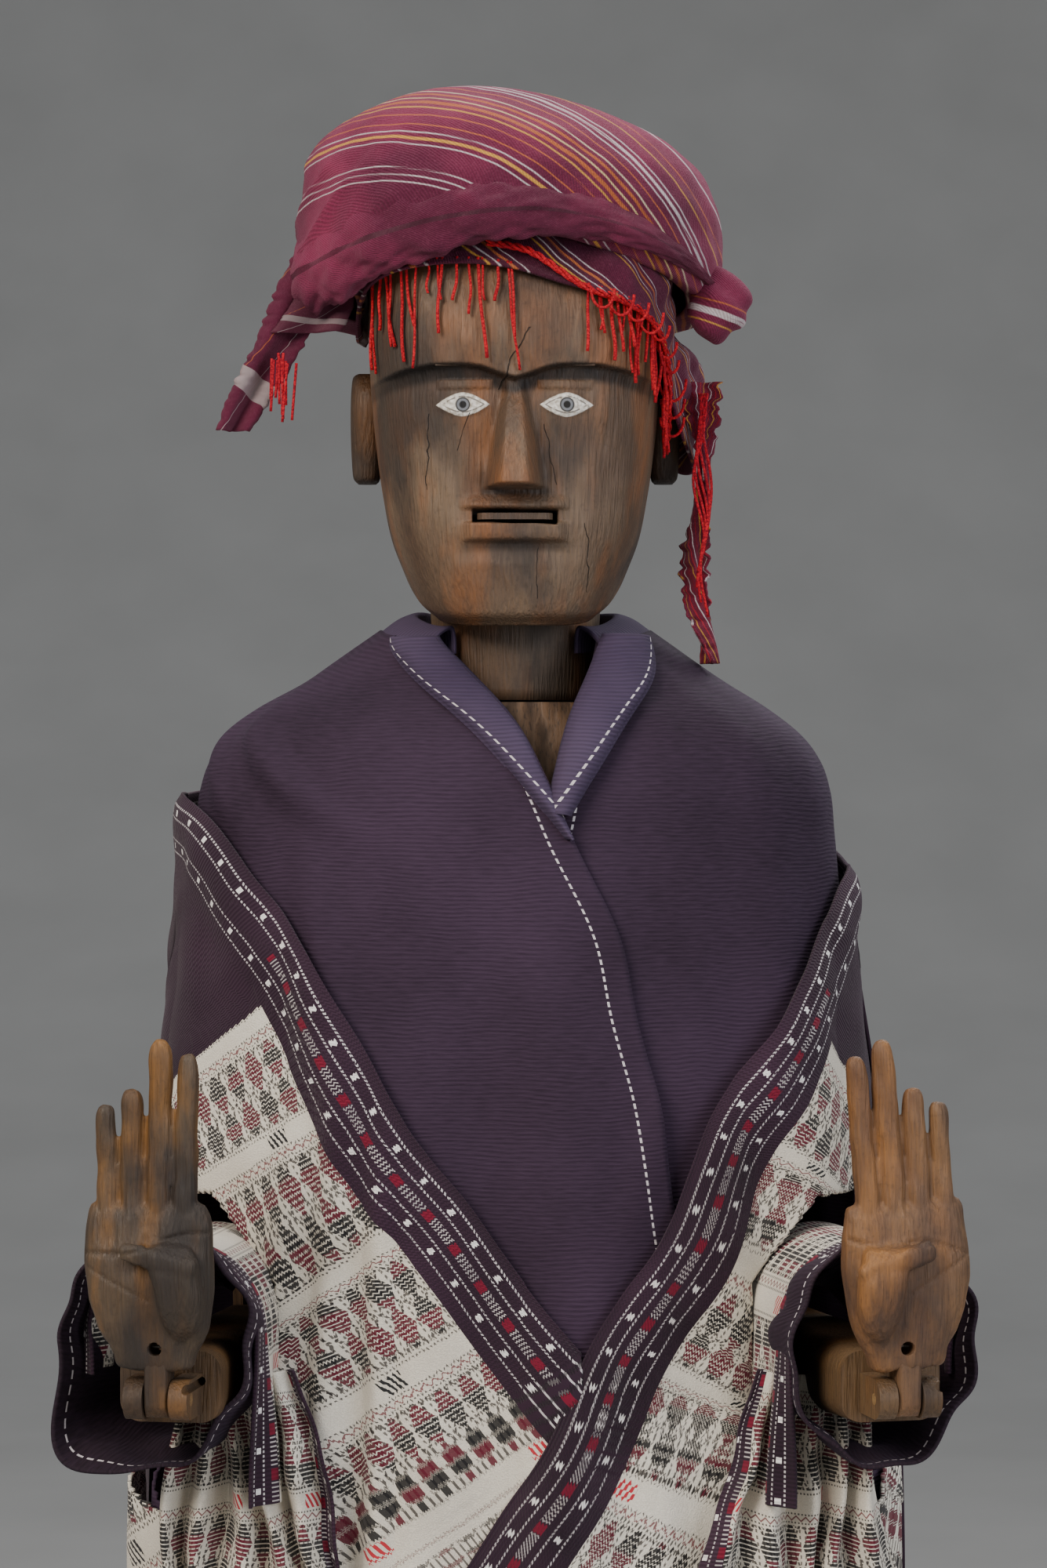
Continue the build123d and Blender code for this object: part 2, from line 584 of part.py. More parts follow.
def tiller_wedge():
    """Flat wedge through the tiller and the peg."""
    middle = (tiller_foot + tiller_top) / 2
    half_y = peg_radius + tiller_side + 1
    x0 = peg_bore_radius + 1
    half_z = wedge_width / 2
    return block(x0, x0 + wedge_thick, -half_y, half_y, middle - half_z, middle + half_z)


# ---------------------------------------------------------------- turban

def turban_rows():
    """Level ellipses of the wound cloth, high on the right side of the head and sloping to the left."""
    z0 = chin_z + turban_rise
    h = turban_height
    wide, deep = head_half_width + turban_swell, head_half_depth + 0.8 * turban_swell
    return [
        (z0, 0, 2, wide - 12, deep - 10),
        (z0 + 0.2 * h, -4, 4, wide, deep),
        (z0 + 0.55 * h, -5, 6, wide, deep),
        (z0 + 0.75 * h, -12, 6, 0.8 * wide, 0.86 * deep),
        (z0 + 0.92 * h, -20, 6, 0.5 * wide, 0.6 * deep),
        (z0 + h, -24, 6, 0.24 * wide, 0.3 * deep),
    ]


def head_room(gap):
    """The head and its brow, grown by a gap, that the turban's pieces are kept out of."""
    brow_z = chin_z + brow_rise
    half, front = brow_half_width + gap, brow_front + gap
    brow = block(-half, half, -front, 0, brow_z - gap, brow_z + brow_height + gap)
    rows = head_rows()
    rows[-1] = (rows[-1][0] + gap, *rows[-1][1:])
    return ovals(rows, gap) + brow


def knot_solid(grow=0.0):
    """Lump of cloth at the puppet's left temple."""
    x = head_half_width + turban_swell - 1
    return Pos(x, -0.3 * head_half_depth, chin_z + turban_rise + knot_rise) * Sphere(knot_radius + grow)


def turban_knot():
    """Knot of the turban, cut back to the head."""
    lump = knot_solid() & block(0, far, -far, far, chin_z + turban_rise - knot_radius + 1, crown_z)
    return lump - head_room(turban_gap + band_thick + 1.0)


def turban_wound(low, high):
    """Wound cloth between two heights, clear of the head and the knot."""
    cloth = ovals(turban_rows()) - head_room(turban_gap) - knot_solid(0.6)
    return cloth & block(-far, far, -far, far, low, high)


def turban_wrap():
    """Lower turns of the turban, round the head."""
    return turban_wound(0, crown_z + turban_gap)


def turban_crown():
    """Upper turns of the turban, puffed up over the open top of the head."""
    return turban_wound(crown_z + turban_gap, far)


def turban_band():
    """Lower striped band round the forehead."""
    z1 = chin_z + turban_rise - band_drop
    z0 = z1 - band_height
    ring = ovals(head_rows(), turban_gap + band_thick) & block(-far, far, -far, far, z0, z1)
    return ring - head_room(turban_gap)


def turban_tail_right():
    """Loose end that stands out and hangs at the right temple."""
    x0 = -(head_half_width + turban_gap + band_thick + tail_clear)
    z1 = chin_z + turban_rise - 1
    y = -0.22 * head_half_depth
    high = Pos(x0 - 0.4 * tail_out, y, z1) * RectangleRounded(0.8 * tail_out, tail_thick, tail_round)
    low_outline = RectangleRounded(0.5 * tail_width, tail_thick, tail_round)
    low = Pos(x0 - 0.85 * tail_out, y, z1 - tail_drop) * low_outline
    return loft([high, low], ruled=True)


def turban_tail_left():
    """Twisted strip that hangs outside the left ear towards the shoulder."""
    x = head_half_width + ear_thick + strip_gap + strip_thick / 2
    z1 = chin_z + turban_rise - strip_drop
    rows = []
    for part, y, half, thick in reversed(strip_rows):
        rows.append((z1 - part * strip_length, x, y, thick * strip_thick, half))
    return stack(rows, roundness=0.7)


# ---------------------------------------------------------------- clothes

def cloth_rows(hem, top_rise, grow):
    """Level outlines of the clothes from a hem up to a height above the shoulder line."""
    wide, deep = robe_half_width, robe_half_depth
    high = [
        (robe_top_rise, robe_top_radius, 0.92 * robe_top_radius), (86.0, 0.58 * wide, 0.74 * deep),
        (70.0, 0.76 * wide, 0.84 * deep), (50.0, 0.92 * wide, 0.93 * deep), (24.0, 0.98 * wide, 0.98 * deep),
        (0.0, wide, deep), (-65.0, wide + 0.3 * robe_flare, deep + 0.3 * robe_flare),
        (-165.0, wide + 0.65 * robe_flare, deep + 0.65 * robe_flare),
        (-265.0, wide + 0.9 * robe_flare, deep + 0.9 * robe_flare),
    ]
    rows = [(shoulder_z + rise, 0, 0, a + grow, b + grow) for rise, a, b in high if rise <= top_rise]
    rows.append((hem, 0, 0, wide + robe_flare + grow, deep + robe_flare + grow))
    return rows[::-1]


def armholes():
    """Room for both arms in their sleeves, at the sides and front corners of the clothes."""
    low, top = shawl_hem - armhole_below, elbow_z + armhole_high
    left = block(armhole_in, far, -far, armhole_back, low, top)
    return left + block(-far, -armhole_in, -far, armhole_back, low, top)


def robe_body():
    """Robe over trunk and upper arms, open in a point below the neck."""
    outer = stack(cloth_rows(robe_hem, robe_top_rise, 0.0))
    inner = stack(cloth_rows(robe_hem, robe_top_rise, -robe_thick))
    point = shoulder_z + robe_top_rise - neckline_drop
    top = shoulder_z + robe_top_rise + 1
    outline = [(-neckline_half_width, top), (neckline_half_width, top), (neckline_shift, point)]
    return outer - inner - front_prism(outline, -far, 0) - armholes()


def robe_collar():
    """Standing collar round the neck, open in front."""
    z1 = chin_z - neck_gap + collar_top - chin_rise
    z0 = z1 - collar_height
    middle = (z0 + z1) / 2
    ring = Pos(0, 0, middle) * Cone(collar_foot_radius, collar_top_radius, collar_height)
    bore = Cone(collar_foot_radius - collar_thick, collar_top_radius - collar_thick, collar_height)
    ring -= Pos(0, 0, middle) * bore
    wide, narrow = collar_gap_top / 2, collar_gap_foot / 2
    gap = [(-wide, z1 + 1), (wide, z1 + 1), (narrow, z0 - 1), (-narrow, z0 - 1)]
    return ring - front_prism(gap, -far, 0)


def shawl_shell():
    """Whole shawl worn low round the arms, with its crossing point in front."""
    outer = stack(cloth_rows(shawl_hem, shawl_top_rise, shawl_gap + shawl_thick))
    inner = stack(cloth_rows(shawl_hem, shawl_top_rise, shawl_gap))
    edge_z = shoulder_z + shawl_edge_rise
    point_z = elbow_z + shawl_point_rise
    left_z = edge_z - shawl_left_lower
    outline = [
        (-far, edge_z + far), (far, edge_z + far), (far, left_z), (shawl_edge_x, left_z),
        (shawl_point_x, point_z), (-shawl_edge_x, edge_z), (-far, edge_z),
    ]
    return outer - inner - front_prism(outline, -far, 0) - armholes()


def shawl_part(name):
    """Back, right or left part of the shawl."""
    shell = shawl_shell()
    if name == "back":
        return shell & block(-far, far, shawl_seam, far, 0, far)
    if name == "right":
        return shell & block(-far, shawl_point_x - shawl_seam, -far, -shawl_seam, 0, far)
    return shell & block(shawl_point_x + shawl_seam, far, -far, -shawl_seam, 0, far)


def sarong():
    """Wrapped skirt from the thighs to the ankles, low enough for the arms to come down in front of it."""
    low_x, low_y = sarong_half_width + sarong_flare_x, sarong_half_depth + sarong_flare_y
    rows = [(sarong_hem, 0, 0, low_x, low_y), (sarong_top, 0, 0, sarong_half_width, sarong_half_depth)]
    return ovals(rows) - ovals(rows, -sarong_thick)


def sleeve(side):
    """Wide sleeve round the forearm, open at the wrist."""
    out = sides[side] * sleeve_shift[side]
    rows = [
        (-sleeve_start, 0, sleeve_back_rise, sleeve_back_half_width, sleeve_back_half_height, 0.8),
        (-sleeve_end, out, sleeve_rise, sleeve_half_width, sleeve_half_height, 0.8),
    ]
    inner = [(y, x, z, a - sleeve_thick, b - sleeve_thick, r) for y, x, z, a, b, r in rows]
    return at_elbow(side) * (along(rows) - along(inner))


def main():
    """Build and write every piece."""
    os.makedirs("parts", exist_ok=True)
    single = [
        base_board, hip_block, trunk_dowels, torso_trunk, back_board, back_board_pegs, string_guide_bar,
        shoulder_axle, axle_pegs, head_block, eyelid_lath, tongue, neck_peg, head_tiller, tiller_wedge,
        turban_wrap, turban_crown, turban_band, turban_knot, turban_tail_right, turban_tail_left,
        robe_body, robe_collar, sarong,
    ]
    for make in single:
        save(make.__name__, make())
    for side, sign in sides.items():
        for make in (foot, leg, eyelid, ear):
            save(f"{make.__name__}_{side}", make(sign))
        for make in (upper_arm, elbow_pin, forearm, wrist_pin, hand, hand_staple, sleeve):
            save(f"{make.__name__}_{side}", make(side))
    for name in ("back", "right", "left"):
        save(f"shawl_{name}", shawl_part(name))


main()
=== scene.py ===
"""Looks of a string-worked wooden puppet: carved head and hands, ribbed robe, patterned shawl and turban.

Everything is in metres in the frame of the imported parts: +Z up, the puppet faces -Y, its left hand is on +X.
Each sub-assembly is a class that holds its sizes in millimetres, builds its meshes and dresses them.
"""

from __future__ import annotations

import json
import logging
import math
from dataclasses import dataclass, field
from enum import Enum
from typing import Callable

import bmesh
import bpy
import numpy as np
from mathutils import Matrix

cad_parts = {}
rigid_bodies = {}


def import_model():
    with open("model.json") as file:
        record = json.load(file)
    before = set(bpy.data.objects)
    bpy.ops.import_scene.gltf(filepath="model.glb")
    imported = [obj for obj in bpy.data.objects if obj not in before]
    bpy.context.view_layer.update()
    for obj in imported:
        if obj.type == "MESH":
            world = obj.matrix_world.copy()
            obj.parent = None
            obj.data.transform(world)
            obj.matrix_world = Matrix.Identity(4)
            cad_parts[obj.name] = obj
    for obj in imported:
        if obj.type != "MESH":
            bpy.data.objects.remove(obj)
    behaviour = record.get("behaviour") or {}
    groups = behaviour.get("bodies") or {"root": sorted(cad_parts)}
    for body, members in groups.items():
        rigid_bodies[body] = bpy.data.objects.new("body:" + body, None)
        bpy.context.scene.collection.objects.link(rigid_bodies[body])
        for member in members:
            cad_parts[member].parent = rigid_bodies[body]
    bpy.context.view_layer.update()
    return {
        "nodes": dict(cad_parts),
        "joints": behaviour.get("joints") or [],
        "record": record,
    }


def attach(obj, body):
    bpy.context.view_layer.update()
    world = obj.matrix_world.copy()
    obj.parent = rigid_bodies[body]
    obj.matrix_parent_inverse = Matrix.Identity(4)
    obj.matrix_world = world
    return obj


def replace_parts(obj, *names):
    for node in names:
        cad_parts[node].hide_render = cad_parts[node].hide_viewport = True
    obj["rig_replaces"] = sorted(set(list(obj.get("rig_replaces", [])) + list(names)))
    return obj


LOG = logging.getLogger("puppet")
MM = 0.001
Array = np.ndarray
Curve = tuple[tuple[float, ...], ...]


class Side(Enum):
    """The puppet's own right and left, with the sign of X."""

    RIGHT = -1
    LEFT = 1

    @property
    def label(self) -> str:
        """Name used in node and body names."""
        return self.name.lower()


# ------------------------------------------------------------ helpers


def linear(hex_colour: str) -> tuple[float, float, float, float]:
    """Turn an sRGB hex colour into the linear colour that shaders take.

    Args:
        hex_colour: Six hex digits.

    Returns:
        Linear red, green, blue and alpha.
    """
    channels = [int(hex_colour[i : i + 2], 16) / 255 for i in (0, 2, 4)]
    red, green, blue = (c / 12.92 if c <= 0.04045 else ((c + 0.055) / 1.055) ** 2.4 for c in channels)
    return red, green, blue, 1.0


def ease(low: float, high: float, value: Array) -> Array:
    """Smooth step of value from 0 at low to 1 at high."""
    t = np.clip((value - low) / (high - low), 0, 1)
    return t * t * (3 - 2 * t)


def bump(value: Array, middle: float, half: float) -> Array:
    """Smooth hump of height 1 round middle, gone beyond half on either side."""
    return 1 - ease(0, 1, np.abs(value - middle) / half)


def lookup(rows: Curve | list[tuple[float, ...]], at: Array) -> Array:
    """Read a smooth curve through rows of (key, values...), flat beyond its ends.

    Args:
        rows: Rows with increasing first value.
        at: Keys to read.

    Returns:
        Array of shape at.shape + (values,), or at.shape for one value a row.
    """
    table = np.array(rows, float)
    keys, values = table[:, 0], table[:, 1:]
    at = np.clip(np.asarray(at, float), keys[0], keys[-1])
    slopes = np.gradient(values, keys, axis=0)
    i = np.clip(np.searchsorted(keys, at) - 1, 0, len(keys) - 2)
    span = keys[i + 1] - keys[i]
    t = ((at - keys[i]) / span)[..., None]
    span = span[..., None]
    out = (2 * t**3 - 3 * t**2 + 1) * values[i] + (t**3 - 2 * t**2 + t) * span * slopes[i]
    out += (3 * t**2 - 2 * t**3) * values[i + 1] + (t**3 - t**2) * span * slopes[i + 1]
    return out[..., 0] if values.shape[1] == 1 else out


def trace(points: list[tuple[float, ...]], count: int) -> Array:
    """Resample a smooth curve through points at count even steps of its length."""
    rough = np.array(points, float)
    keys = np.arange(len(rough))
    dense = lookup([(k, *p) for k, p in zip(keys, rough)], np.linspace(0, len(rough) - 1, 40 * len(rough)))
    run = np.concatenate([[0], np.cumsum(np.linalg.norm(np.diff(dense, axis=0), axis=1))])
    at = np.linspace(0, run[-1], count)
    return np.stack([np.interp(at, run, dense[:, i]) for i in range(dense.shape[1])], axis=1)


def ripple(u: Array, v: Array, pitch: float, seed: int, waves: int = 7) -> Array:
    """Smooth irregular waves of about unit height.

    Args:
        u: First coordinate.
        v: Second coordinate.
        pitch: Typical wave length, in the coordinates' unit.
        seed: Seed of the waves' directions and phases.
        waves: Number of waves added up.

    Returns:
        The waves' sum at each point.
    """
    draw = np.random.default_rng(seed)
    total = np.zeros(np.broadcast(u, v).shape)
    for _ in range(waves):
        heading, phase, stretch = draw.uniform(0, 2 * math.pi), draw.uniform(0,
                                                                             2 * math.pi), draw.uniform(0.6,
                                                                                                        1.7)
        turn = 2 * math.pi / (pitch * stretch)
        total += np.sin((u * math.cos(heading) + v * math.sin(heading)) * turn + phase)
    return total / math.sqrt(waves)


def grid_mesh(name: str, points: Array, cloth: Array | None = None, wrap: bool = False,
              keep: Array | None = None, marks: dict[str, Array] | None = None) -> bpy.types.Object:
    """Make a smooth mesh from a grid of points.

    Args:
        name: Piece name.
        points: Rows by columns by 3, in millimetres.
        cloth: Rows by columns by 2 place on the flat cloth, in millimetres, kept as the UV map.
        wrap: Join the last column to the first.
        keep: Rows-1 by columns-1 mask of the faces to keep.
        marks: Named values of every point, kept as attributes.

    Returns:
        The linked object.
    """
    rows, columns = points.shape[:2]
    index = np.arange(rows * columns).reshape(rows, columns)
    if wrap:
        index = np.concatenate([index, index[:, :1]], axis=1)
    quads = np.stack([index[:-1, :-1], index[:-1, 1:], index[1:, 1:], index[1:, :-1]], axis=-1)
    if keep is not None:
        quads = quads[keep]
    quads = quads.reshape(-1, 4)
    mesh = bpy.data.meshes.new(name)
    mesh.from_pydata((points.reshape(-1, 3) * MM).tolist(), [], quads.tolist())
    for key, values in (marks or {}).items():
        shares = np.broadcast_to(values, points.shape[:2]).astype(np.float32).reshape(-1)
        mesh.attributes.new(key, "FLOAT", "POINT").data.foreach_set("value", shares)
    if cloth is not None:
        layer = mesh.uv_layers.new(name="cloth")
        layer.data.foreach_set("uv", (cloth.reshape(-1, 2)[quads.reshape(-1)]).astype(np.float32).reshape(-1))
    return link(name, mesh)


def spread_grid(*parts: Array) -> Array:
    """Bring coordinates to one shape and stack them along a new last axis."""
    return np.stack(np.broadcast_arrays(*parts), axis=-1)


def oval(turn: Array, a: Array | float, b: Array | float, n: Array | float) -> Array:
    """Radius of a squared oval of half width a and half depth b; n is 2 for an ellipse, more for squarer."""
    return ((np.abs(np.sin(turn)) / a) ** n + (np.abs(np.cos(turn)) / b) ** n) ** (-1 / n)


def points_of(piece: bpy.types.Object) -> Array:
    """Coordinates of a mesh's points in millimetres."""
    return np.array([vertex.co for vertex in piece.data.vertices]) / MM


def move_points(piece: bpy.types.Object, points: Array) -> None:
    """Give a mesh's points new coordinates in millimetres."""
    piece.data.vertices.foreach_set("co", (points * MM).astype(np.float32).reshape(-1))
    piece.data.update()


def link(name: str, mesh: bpy.types.Mesh) -> bpy.types.Object:
    """Link a mesh as a smooth object, without points that no face uses."""
    work = bmesh.new()
    work.from_mesh(mesh)
    bmesh.ops.delete(work, geom=[v for v in work.verts if not v.link_faces], context="VERTS")
    work.to_mesh(mesh)
    work.free()
    mesh.shade_smooth()
    piece = bpy.data.objects.new(name, mesh)
    bpy.context.scene.collection.objects.link(piece)
    return piece


def freeze(piece: bpy.types.Object) -> bpy.types.Object:
    """Apply a piece's modifiers to its mesh."""
    graph = bpy.context.evaluated_depsgraph_get()
    mesh = bpy.data.meshes.new_from_object(piece.evaluated_get(graph))
    piece.modifiers.clear()
    piece.data = mesh
    piece.data.shade_smooth()
    return piece


def thicken(piece: bpy.types.Object, thick: float, offset: float = -1.0) -> bpy.types.Object:
    """Give a cloth its thickness in millimetres."""
    solid = piece.modifiers.new("thickness", "SOLIDIFY")
    solid.thickness = thick * MM
    solid.offset = offset
    return freeze(piece)


def tube(name: str, path: Array, radius: float | Array, sides: int = 6) -> bpy.types.Object:
    """Make a round closed tube along a path, for threads and wires.

    Args:
        name: Piece name.
        path: Points in millimetres.
        radius: One radius, or one for each point, in millimetres.
        sides: Corners of its section.

    Returns:
        The linked object.
    """
    ahead = np.gradient(path, axis=0)
    ahead /= np.linalg.norm(ahead, axis=1)[:, None] + 1e-9
    across = np.cross(ahead, (0.31, 0.87, 0.38))
    across /= np.linalg.norm(across, axis=1)[:, None] + 1e-9
    other = np.cross(ahead, across)
    angle = np.linspace(0, 2 * math.pi, sides, endpoint=False)[None, :, None]
    width = np.broadcast_to(np.asarray(radius, float), (len(path),))[:, None, None]
    ring = path[:, None] + width * (np.cos(angle) * across[:, None] + np.sin(angle) * other[:, None])
    piece = grid_mesh(name, ring, wrap=True)
    return close_ends(piece)


def close_ends(piece: bpy.types.Object) -> bpy.types.Object:
    """Fill the open ends of a tube-like mesh."""
    work = bmesh.new()
    work.from_mesh(piece.data)
    bmesh.ops.holes_fill(work, edges=work.edges, sides=0)
    bmesh.ops.recalc_face_normals(work, faces=work.faces)
    work.to_mesh(piece.data)
    work.free()
    return piece


def join(name: str, pieces: list[bpy.types.Object]) -> bpy.types.Object:
    """Join meshes into one named piece."""
    work = bmesh.new()
    for piece in pieces:
        work.from_mesh(piece.data)
        bpy.data.objects.remove(piece)
    mesh = bpy.data.meshes.new(name)
    work.to_mesh(mesh)
    work.free()
    return link(name, mesh)


def blob(name: str, rows: list[tuple[float, ...]], sides: int = 28, square: float = 2.6) -> bpy.types.Object:
    """Make a closed lofted form from level sections.

    Args:
        name: Piece name.
        rows: Rows of (height, x, y, half width, half depth), in millimetres, ends near zero width.
        sides: Corners of a section.
        square: Exponent of the section's outline, 2 is round.

    Returns:
        The linked object.
    """
    table = np.array(rows, float)
    heights = np.linspace(0, 1, 6 * len(rows))
    keys = np.linspace(0, 1, len(rows))
    z, x, y, a, b = lookup([(k, *row) for k, row in zip(keys, table)], heights).T
    angle = np.linspace(0, 2 * math.pi, sides, endpoint=False)
    c, s = np.cos(angle), np.sin(angle)
    shape_x = np.sign(s) * np.abs(s) ** (2 / square)
    shape_y = -np.sign(c) * np.abs(c) ** (2 / square)
    points = np.stack([
        x[:, None] + np.maximum(a, 0.05)[:, None] * shape_x,
        y[:, None] + np.maximum(b, 0.05)[:, None] * shape_y,
        np.broadcast_to(z[:, None], (len(z), sides)),
    ], axis=-1)
    return close_ends(grid_mesh(name, points, wrap=True))


def place(piece: bpy.types.Object, spot: Array, turn: float, lean: float = 0.0) -> bpy.types.Object:
    """Carry a mesh from its own frame into the puppet's.

    Args:
        piece: The object, whose mesh is moved.
        spot: Its frame's origin, in metres.
        turn: Turn about Z in radians.
        lean: Lean about Y in radians, done first.

    Returns:
        The same object.
    """
    co = points_of(piece) * MM
    c, s = math.cos(lean), math.sin(lean)
    co = co @ np.array([[c, 0, -s], [0, 1, 0], [s, 0, c]])
    c, s = math.cos(turn), math.sin(turn)
    co = co @ np.array([[c, s, 0], [-s, c, 0], [0, 0, 1]]) + spot
    move_points(piece, co / MM)
    return piece


# ------------------------------------------------------------ finishes


MATHS = {
    "ADD", "SUBTRACT", "MULTIPLY", "DIVIDE", "ABSOLUTE", "FRACT", "MAXIMUM", "LESS_THAN",
    "GREATER_THAN", "POWER", "FLOOR", "PINGPONG", "SQRT", "MULTIPLY_ADD", "COMPARE",
}


@dataclass
class Bench:
    """Node tree of one material, with the one function that adds a node."""

    material: bpy.types.Material

    def add(self, kind: str, *inputs: object, out: int | str = 0, **settings: object) -> bpy.types.NodeSocket:
        """Add one node, set its options and link or fill its inputs.

        Args:
            kind: Shader node type without its prefix, or the name of a Math operation.
            inputs: Values or sockets, in the order of the node's inputs; None leaves one alone.
            out: Output to return.
            settings: Node properties, or input names as in_NAME with underscores for spaces.

        Returns:
            The chosen output socket.
        """
        tree = self.material.node_tree
        node = tree.nodes.new("ShaderNode" + ("Math" if kind in MATHS else kind))
        if kind in MATHS:
            node.operation = kind
        pairs = []
        for key, value in settings.items():
            if key.startswith("in_"):
                pairs.append((node.inputs[key[3:].replace("_", " ")], value))
            else:
                setattr(node, key, value)
        pairs += [(node.inputs[i], value) for i, value in enumerate(inputs) if value is not None]
        for socket, value in pairs:
            if isinstance(value, bpy.types.NodeSocket):
                tree.links.new(value, socket)
            else:
                socket.default_value = value
        return node.outputs[out] if len(node.outputs) else None

    def blend(self, factor: object, first: object, second: object, mode: str = "MIX") -> bpy.types.NodeSocket:
        """Mix two colours; first and second may be hex strings."""
        colours = [linear(c) if isinstance(c, str) else c for c in (first, second)]
        tree = self.material.node_tree
        node = tree.nodes.new("ShaderNodeMix")
        node.data_type = "RGBA"
        node.blend_type = mode
        for socket, value in zip((node.inputs[0], node.inputs[6], node.inputs[7]), (factor, *colours)):
            if isinstance(value, bpy.types.NodeSocket):
                tree.links.new(value, socket)
            else:
                socket.default_value = value
        return node.outputs[2]

    def noise(self, where: object, scale: float, low: float, high: float, detail: float = 4.0,
              stretch: tuple[float, float, float] = (1.0, 1.0, 1.0)) -> bpy.types.NodeSocket:
        """Noise of so many cells a metre, spread so that low becomes 0 and high becomes 1."""
        mapped = self.add("Mapping", where, in_Scale=stretch)
        value = self.add("TexNoise", mapped, in_Scale=scale, in_Detail=detail)
        return self.spread(value, low, high)

    def spread(self, value: object, low: float, high: float) -> bpy.types.NodeSocket:
        """Stretch a value so that low becomes 0 and high becomes 1."""
        return self.add("MapRange", value, low, high, 0.0, 1.0)

    def times(self, first: object, second: object) -> bpy.types.NodeSocket:
        """Product of two values."""
        return self.add("MULTIPLY", first, second)

    def wash(self, colour: object, share: object, strength: float, tint: object) -> bpy.types.NodeSocket:
        """Lay a tint over a colour where share is 1, at the given strength."""
        return self.blend(self.times(share, strength), colour, tint)

    def off(self, value: object, middle: object) -> bpy.types.NodeSocket:
        """Distance of a value from a middle."""
        return self.add("ABSOLUTE", self.add("SUBTRACT", value, middle))

    def near(self, value: object, middle: object, half: float) -> bpy.types.NodeSocket:
        """1 where a value is within half of a middle."""
        return self.add("LESS_THAN", self.off(value, middle), half)

    def between(self, value: object, low: float, high: float) -> bpy.types.NodeSocket:
        """1 where a value lies between low and high."""
        return self.times(self.add("GREATER_THAN", value, low), self.add("LESS_THAN", value, high))

    def cell(self, value: object, pitch: float) -> bpy.types.NodeSocket:
        """Place within a repeat, from 0 to 1."""
        return self.add("FRACT", self.add("DIVIDE", value, pitch))

    def on_piece(self) -> bpy.types.NodeSocket:
        """Coordinates of the piece itself, in metres."""
        return self.add("TexCoord", out="Object")

    def on_cloth(self) -> tuple[bpy.types.NodeSocket, bpy.types.NodeSocket]:
        """First and second coordinate of the flat cloth, in millimetres."""
        flat = self.add("UVMap", uv_map="cloth")
        return self.add("SeparateXYZ", flat, out=0), self.add("SeparateXYZ", flat, out=1)


def shader(name: str, roughness: float, bump_depth: float,
           paint: Callable[[Bench], tuple[object, object, object]], sheen: float = 0.0,
           sheen_tint: str = "ffffff", specular: float = 0.4) -> bpy.types.Material:
    """Make one material from a painting function.

    Args:
        name: Material name.
        roughness: Roughness used where the painting gives None.
        bump_depth: Height of the bump in metres.
        paint: Gets the bench and returns colour, height and roughness sockets, None where there is none.
        sheen: Weight of the cloth's sheen.
        sheen_tint: Sheen's colour.
        specular: Specular level.

    Returns:
        The material.
    """
    material = bpy.data.materials.new(name)
    material.use_nodes = True
    material.node_tree.nodes.clear()
    bench = Bench(material)
    colour, height, rough = paint(bench)
    inputs: dict[str, object] = {"in_Base_Color": colour,
                                 "in_Roughness": roughness if rough is None else rough}
    if height is not None:
        inputs["in_Normal"] = bench.add("Bump", in_Distance=bump_depth, in_Height=height, in_Strength=1.0)
    surface = bench.add("BsdfPrincipled", **inputs)
    node = surface.node
    node.inputs["Specular IOR Level"].default_value = specular
    node.inputs["Sheen Weight"].default_value = sheen
    node.inputs["Sheen Roughness"].default_value = 0.5
    node.inputs["Sheen Tint"].default_value = linear(sheen_tint)
    bench.add("OutputMaterial", surface)
    return material


@dataclass(frozen=True)
class CarvedWood:
    """Hand-carved jackfruit-like wood, oiled by handling, greyed by weather: satin where touched."""

    name: str
    base: str
    warm: str
    dark: str
    pale: str
    dark_low: float = 0.52
    warm_low: float = 0.5
    grain: float = 700.0
    roughness: float = 0.55
    features: Callable[[Bench, object, object, object], tuple[object, object]] | None = None

    def make(self) -> bpy.types.Material:
        """Build the material."""

        def paint(b: Bench) -> tuple[object, object, object]:
            where = b.on_piece()
            grain_axis = (1.0, 1.0, 0.07)
            streak = b.noise(where, self.grain, 0.35, 0.68, 6.0, grain_axis)
            broad = b.noise(where, 26.0, 0.38, 0.66, 5.0, (1.0, 1.0, 0.45))
            stain = b.noise(where, 19.0, self.dark_low, self.dark_low + 0.14, 7.0, (1.0, 1.0, 0.6))
            glow = b.noise(b.add("VectorMath", where, (3.1, 1.7, 0.4)), 34.0, self.warm_low,
                           self.warm_low + 0.16, 6.0, (1.0, 1.0, 0.35))
            fleck = b.noise(where, 420.0, 0.56, 0.7, 3.0)
            colour = b.blend(broad, self.base, self.pale)
            colour = b.wash(colour, glow, 0.75, self.warm)
            colour = b.wash(colour, stain, 0.72, self.dark)
            colour = b.wash(colour, streak, 0.32, self.dark)
            colour = b.wash(colour, fleck, 0.22, "1c130d")
            height = b.add("MULTIPLY_ADD", streak, -0.5, b.times(broad, 0.6))
            if self.features:
                colour, height = self.features(b, where, colour, height)
            rough = b.add("MapRange", b.add("ADD", stain, streak), 0.0, 2.0, self.roughness - 0.1,
                          self.roughness + 0.16)
            return colour, height, rough

        return shader(self.name, self.roughness, 0.0007, paint, specular=0.35)


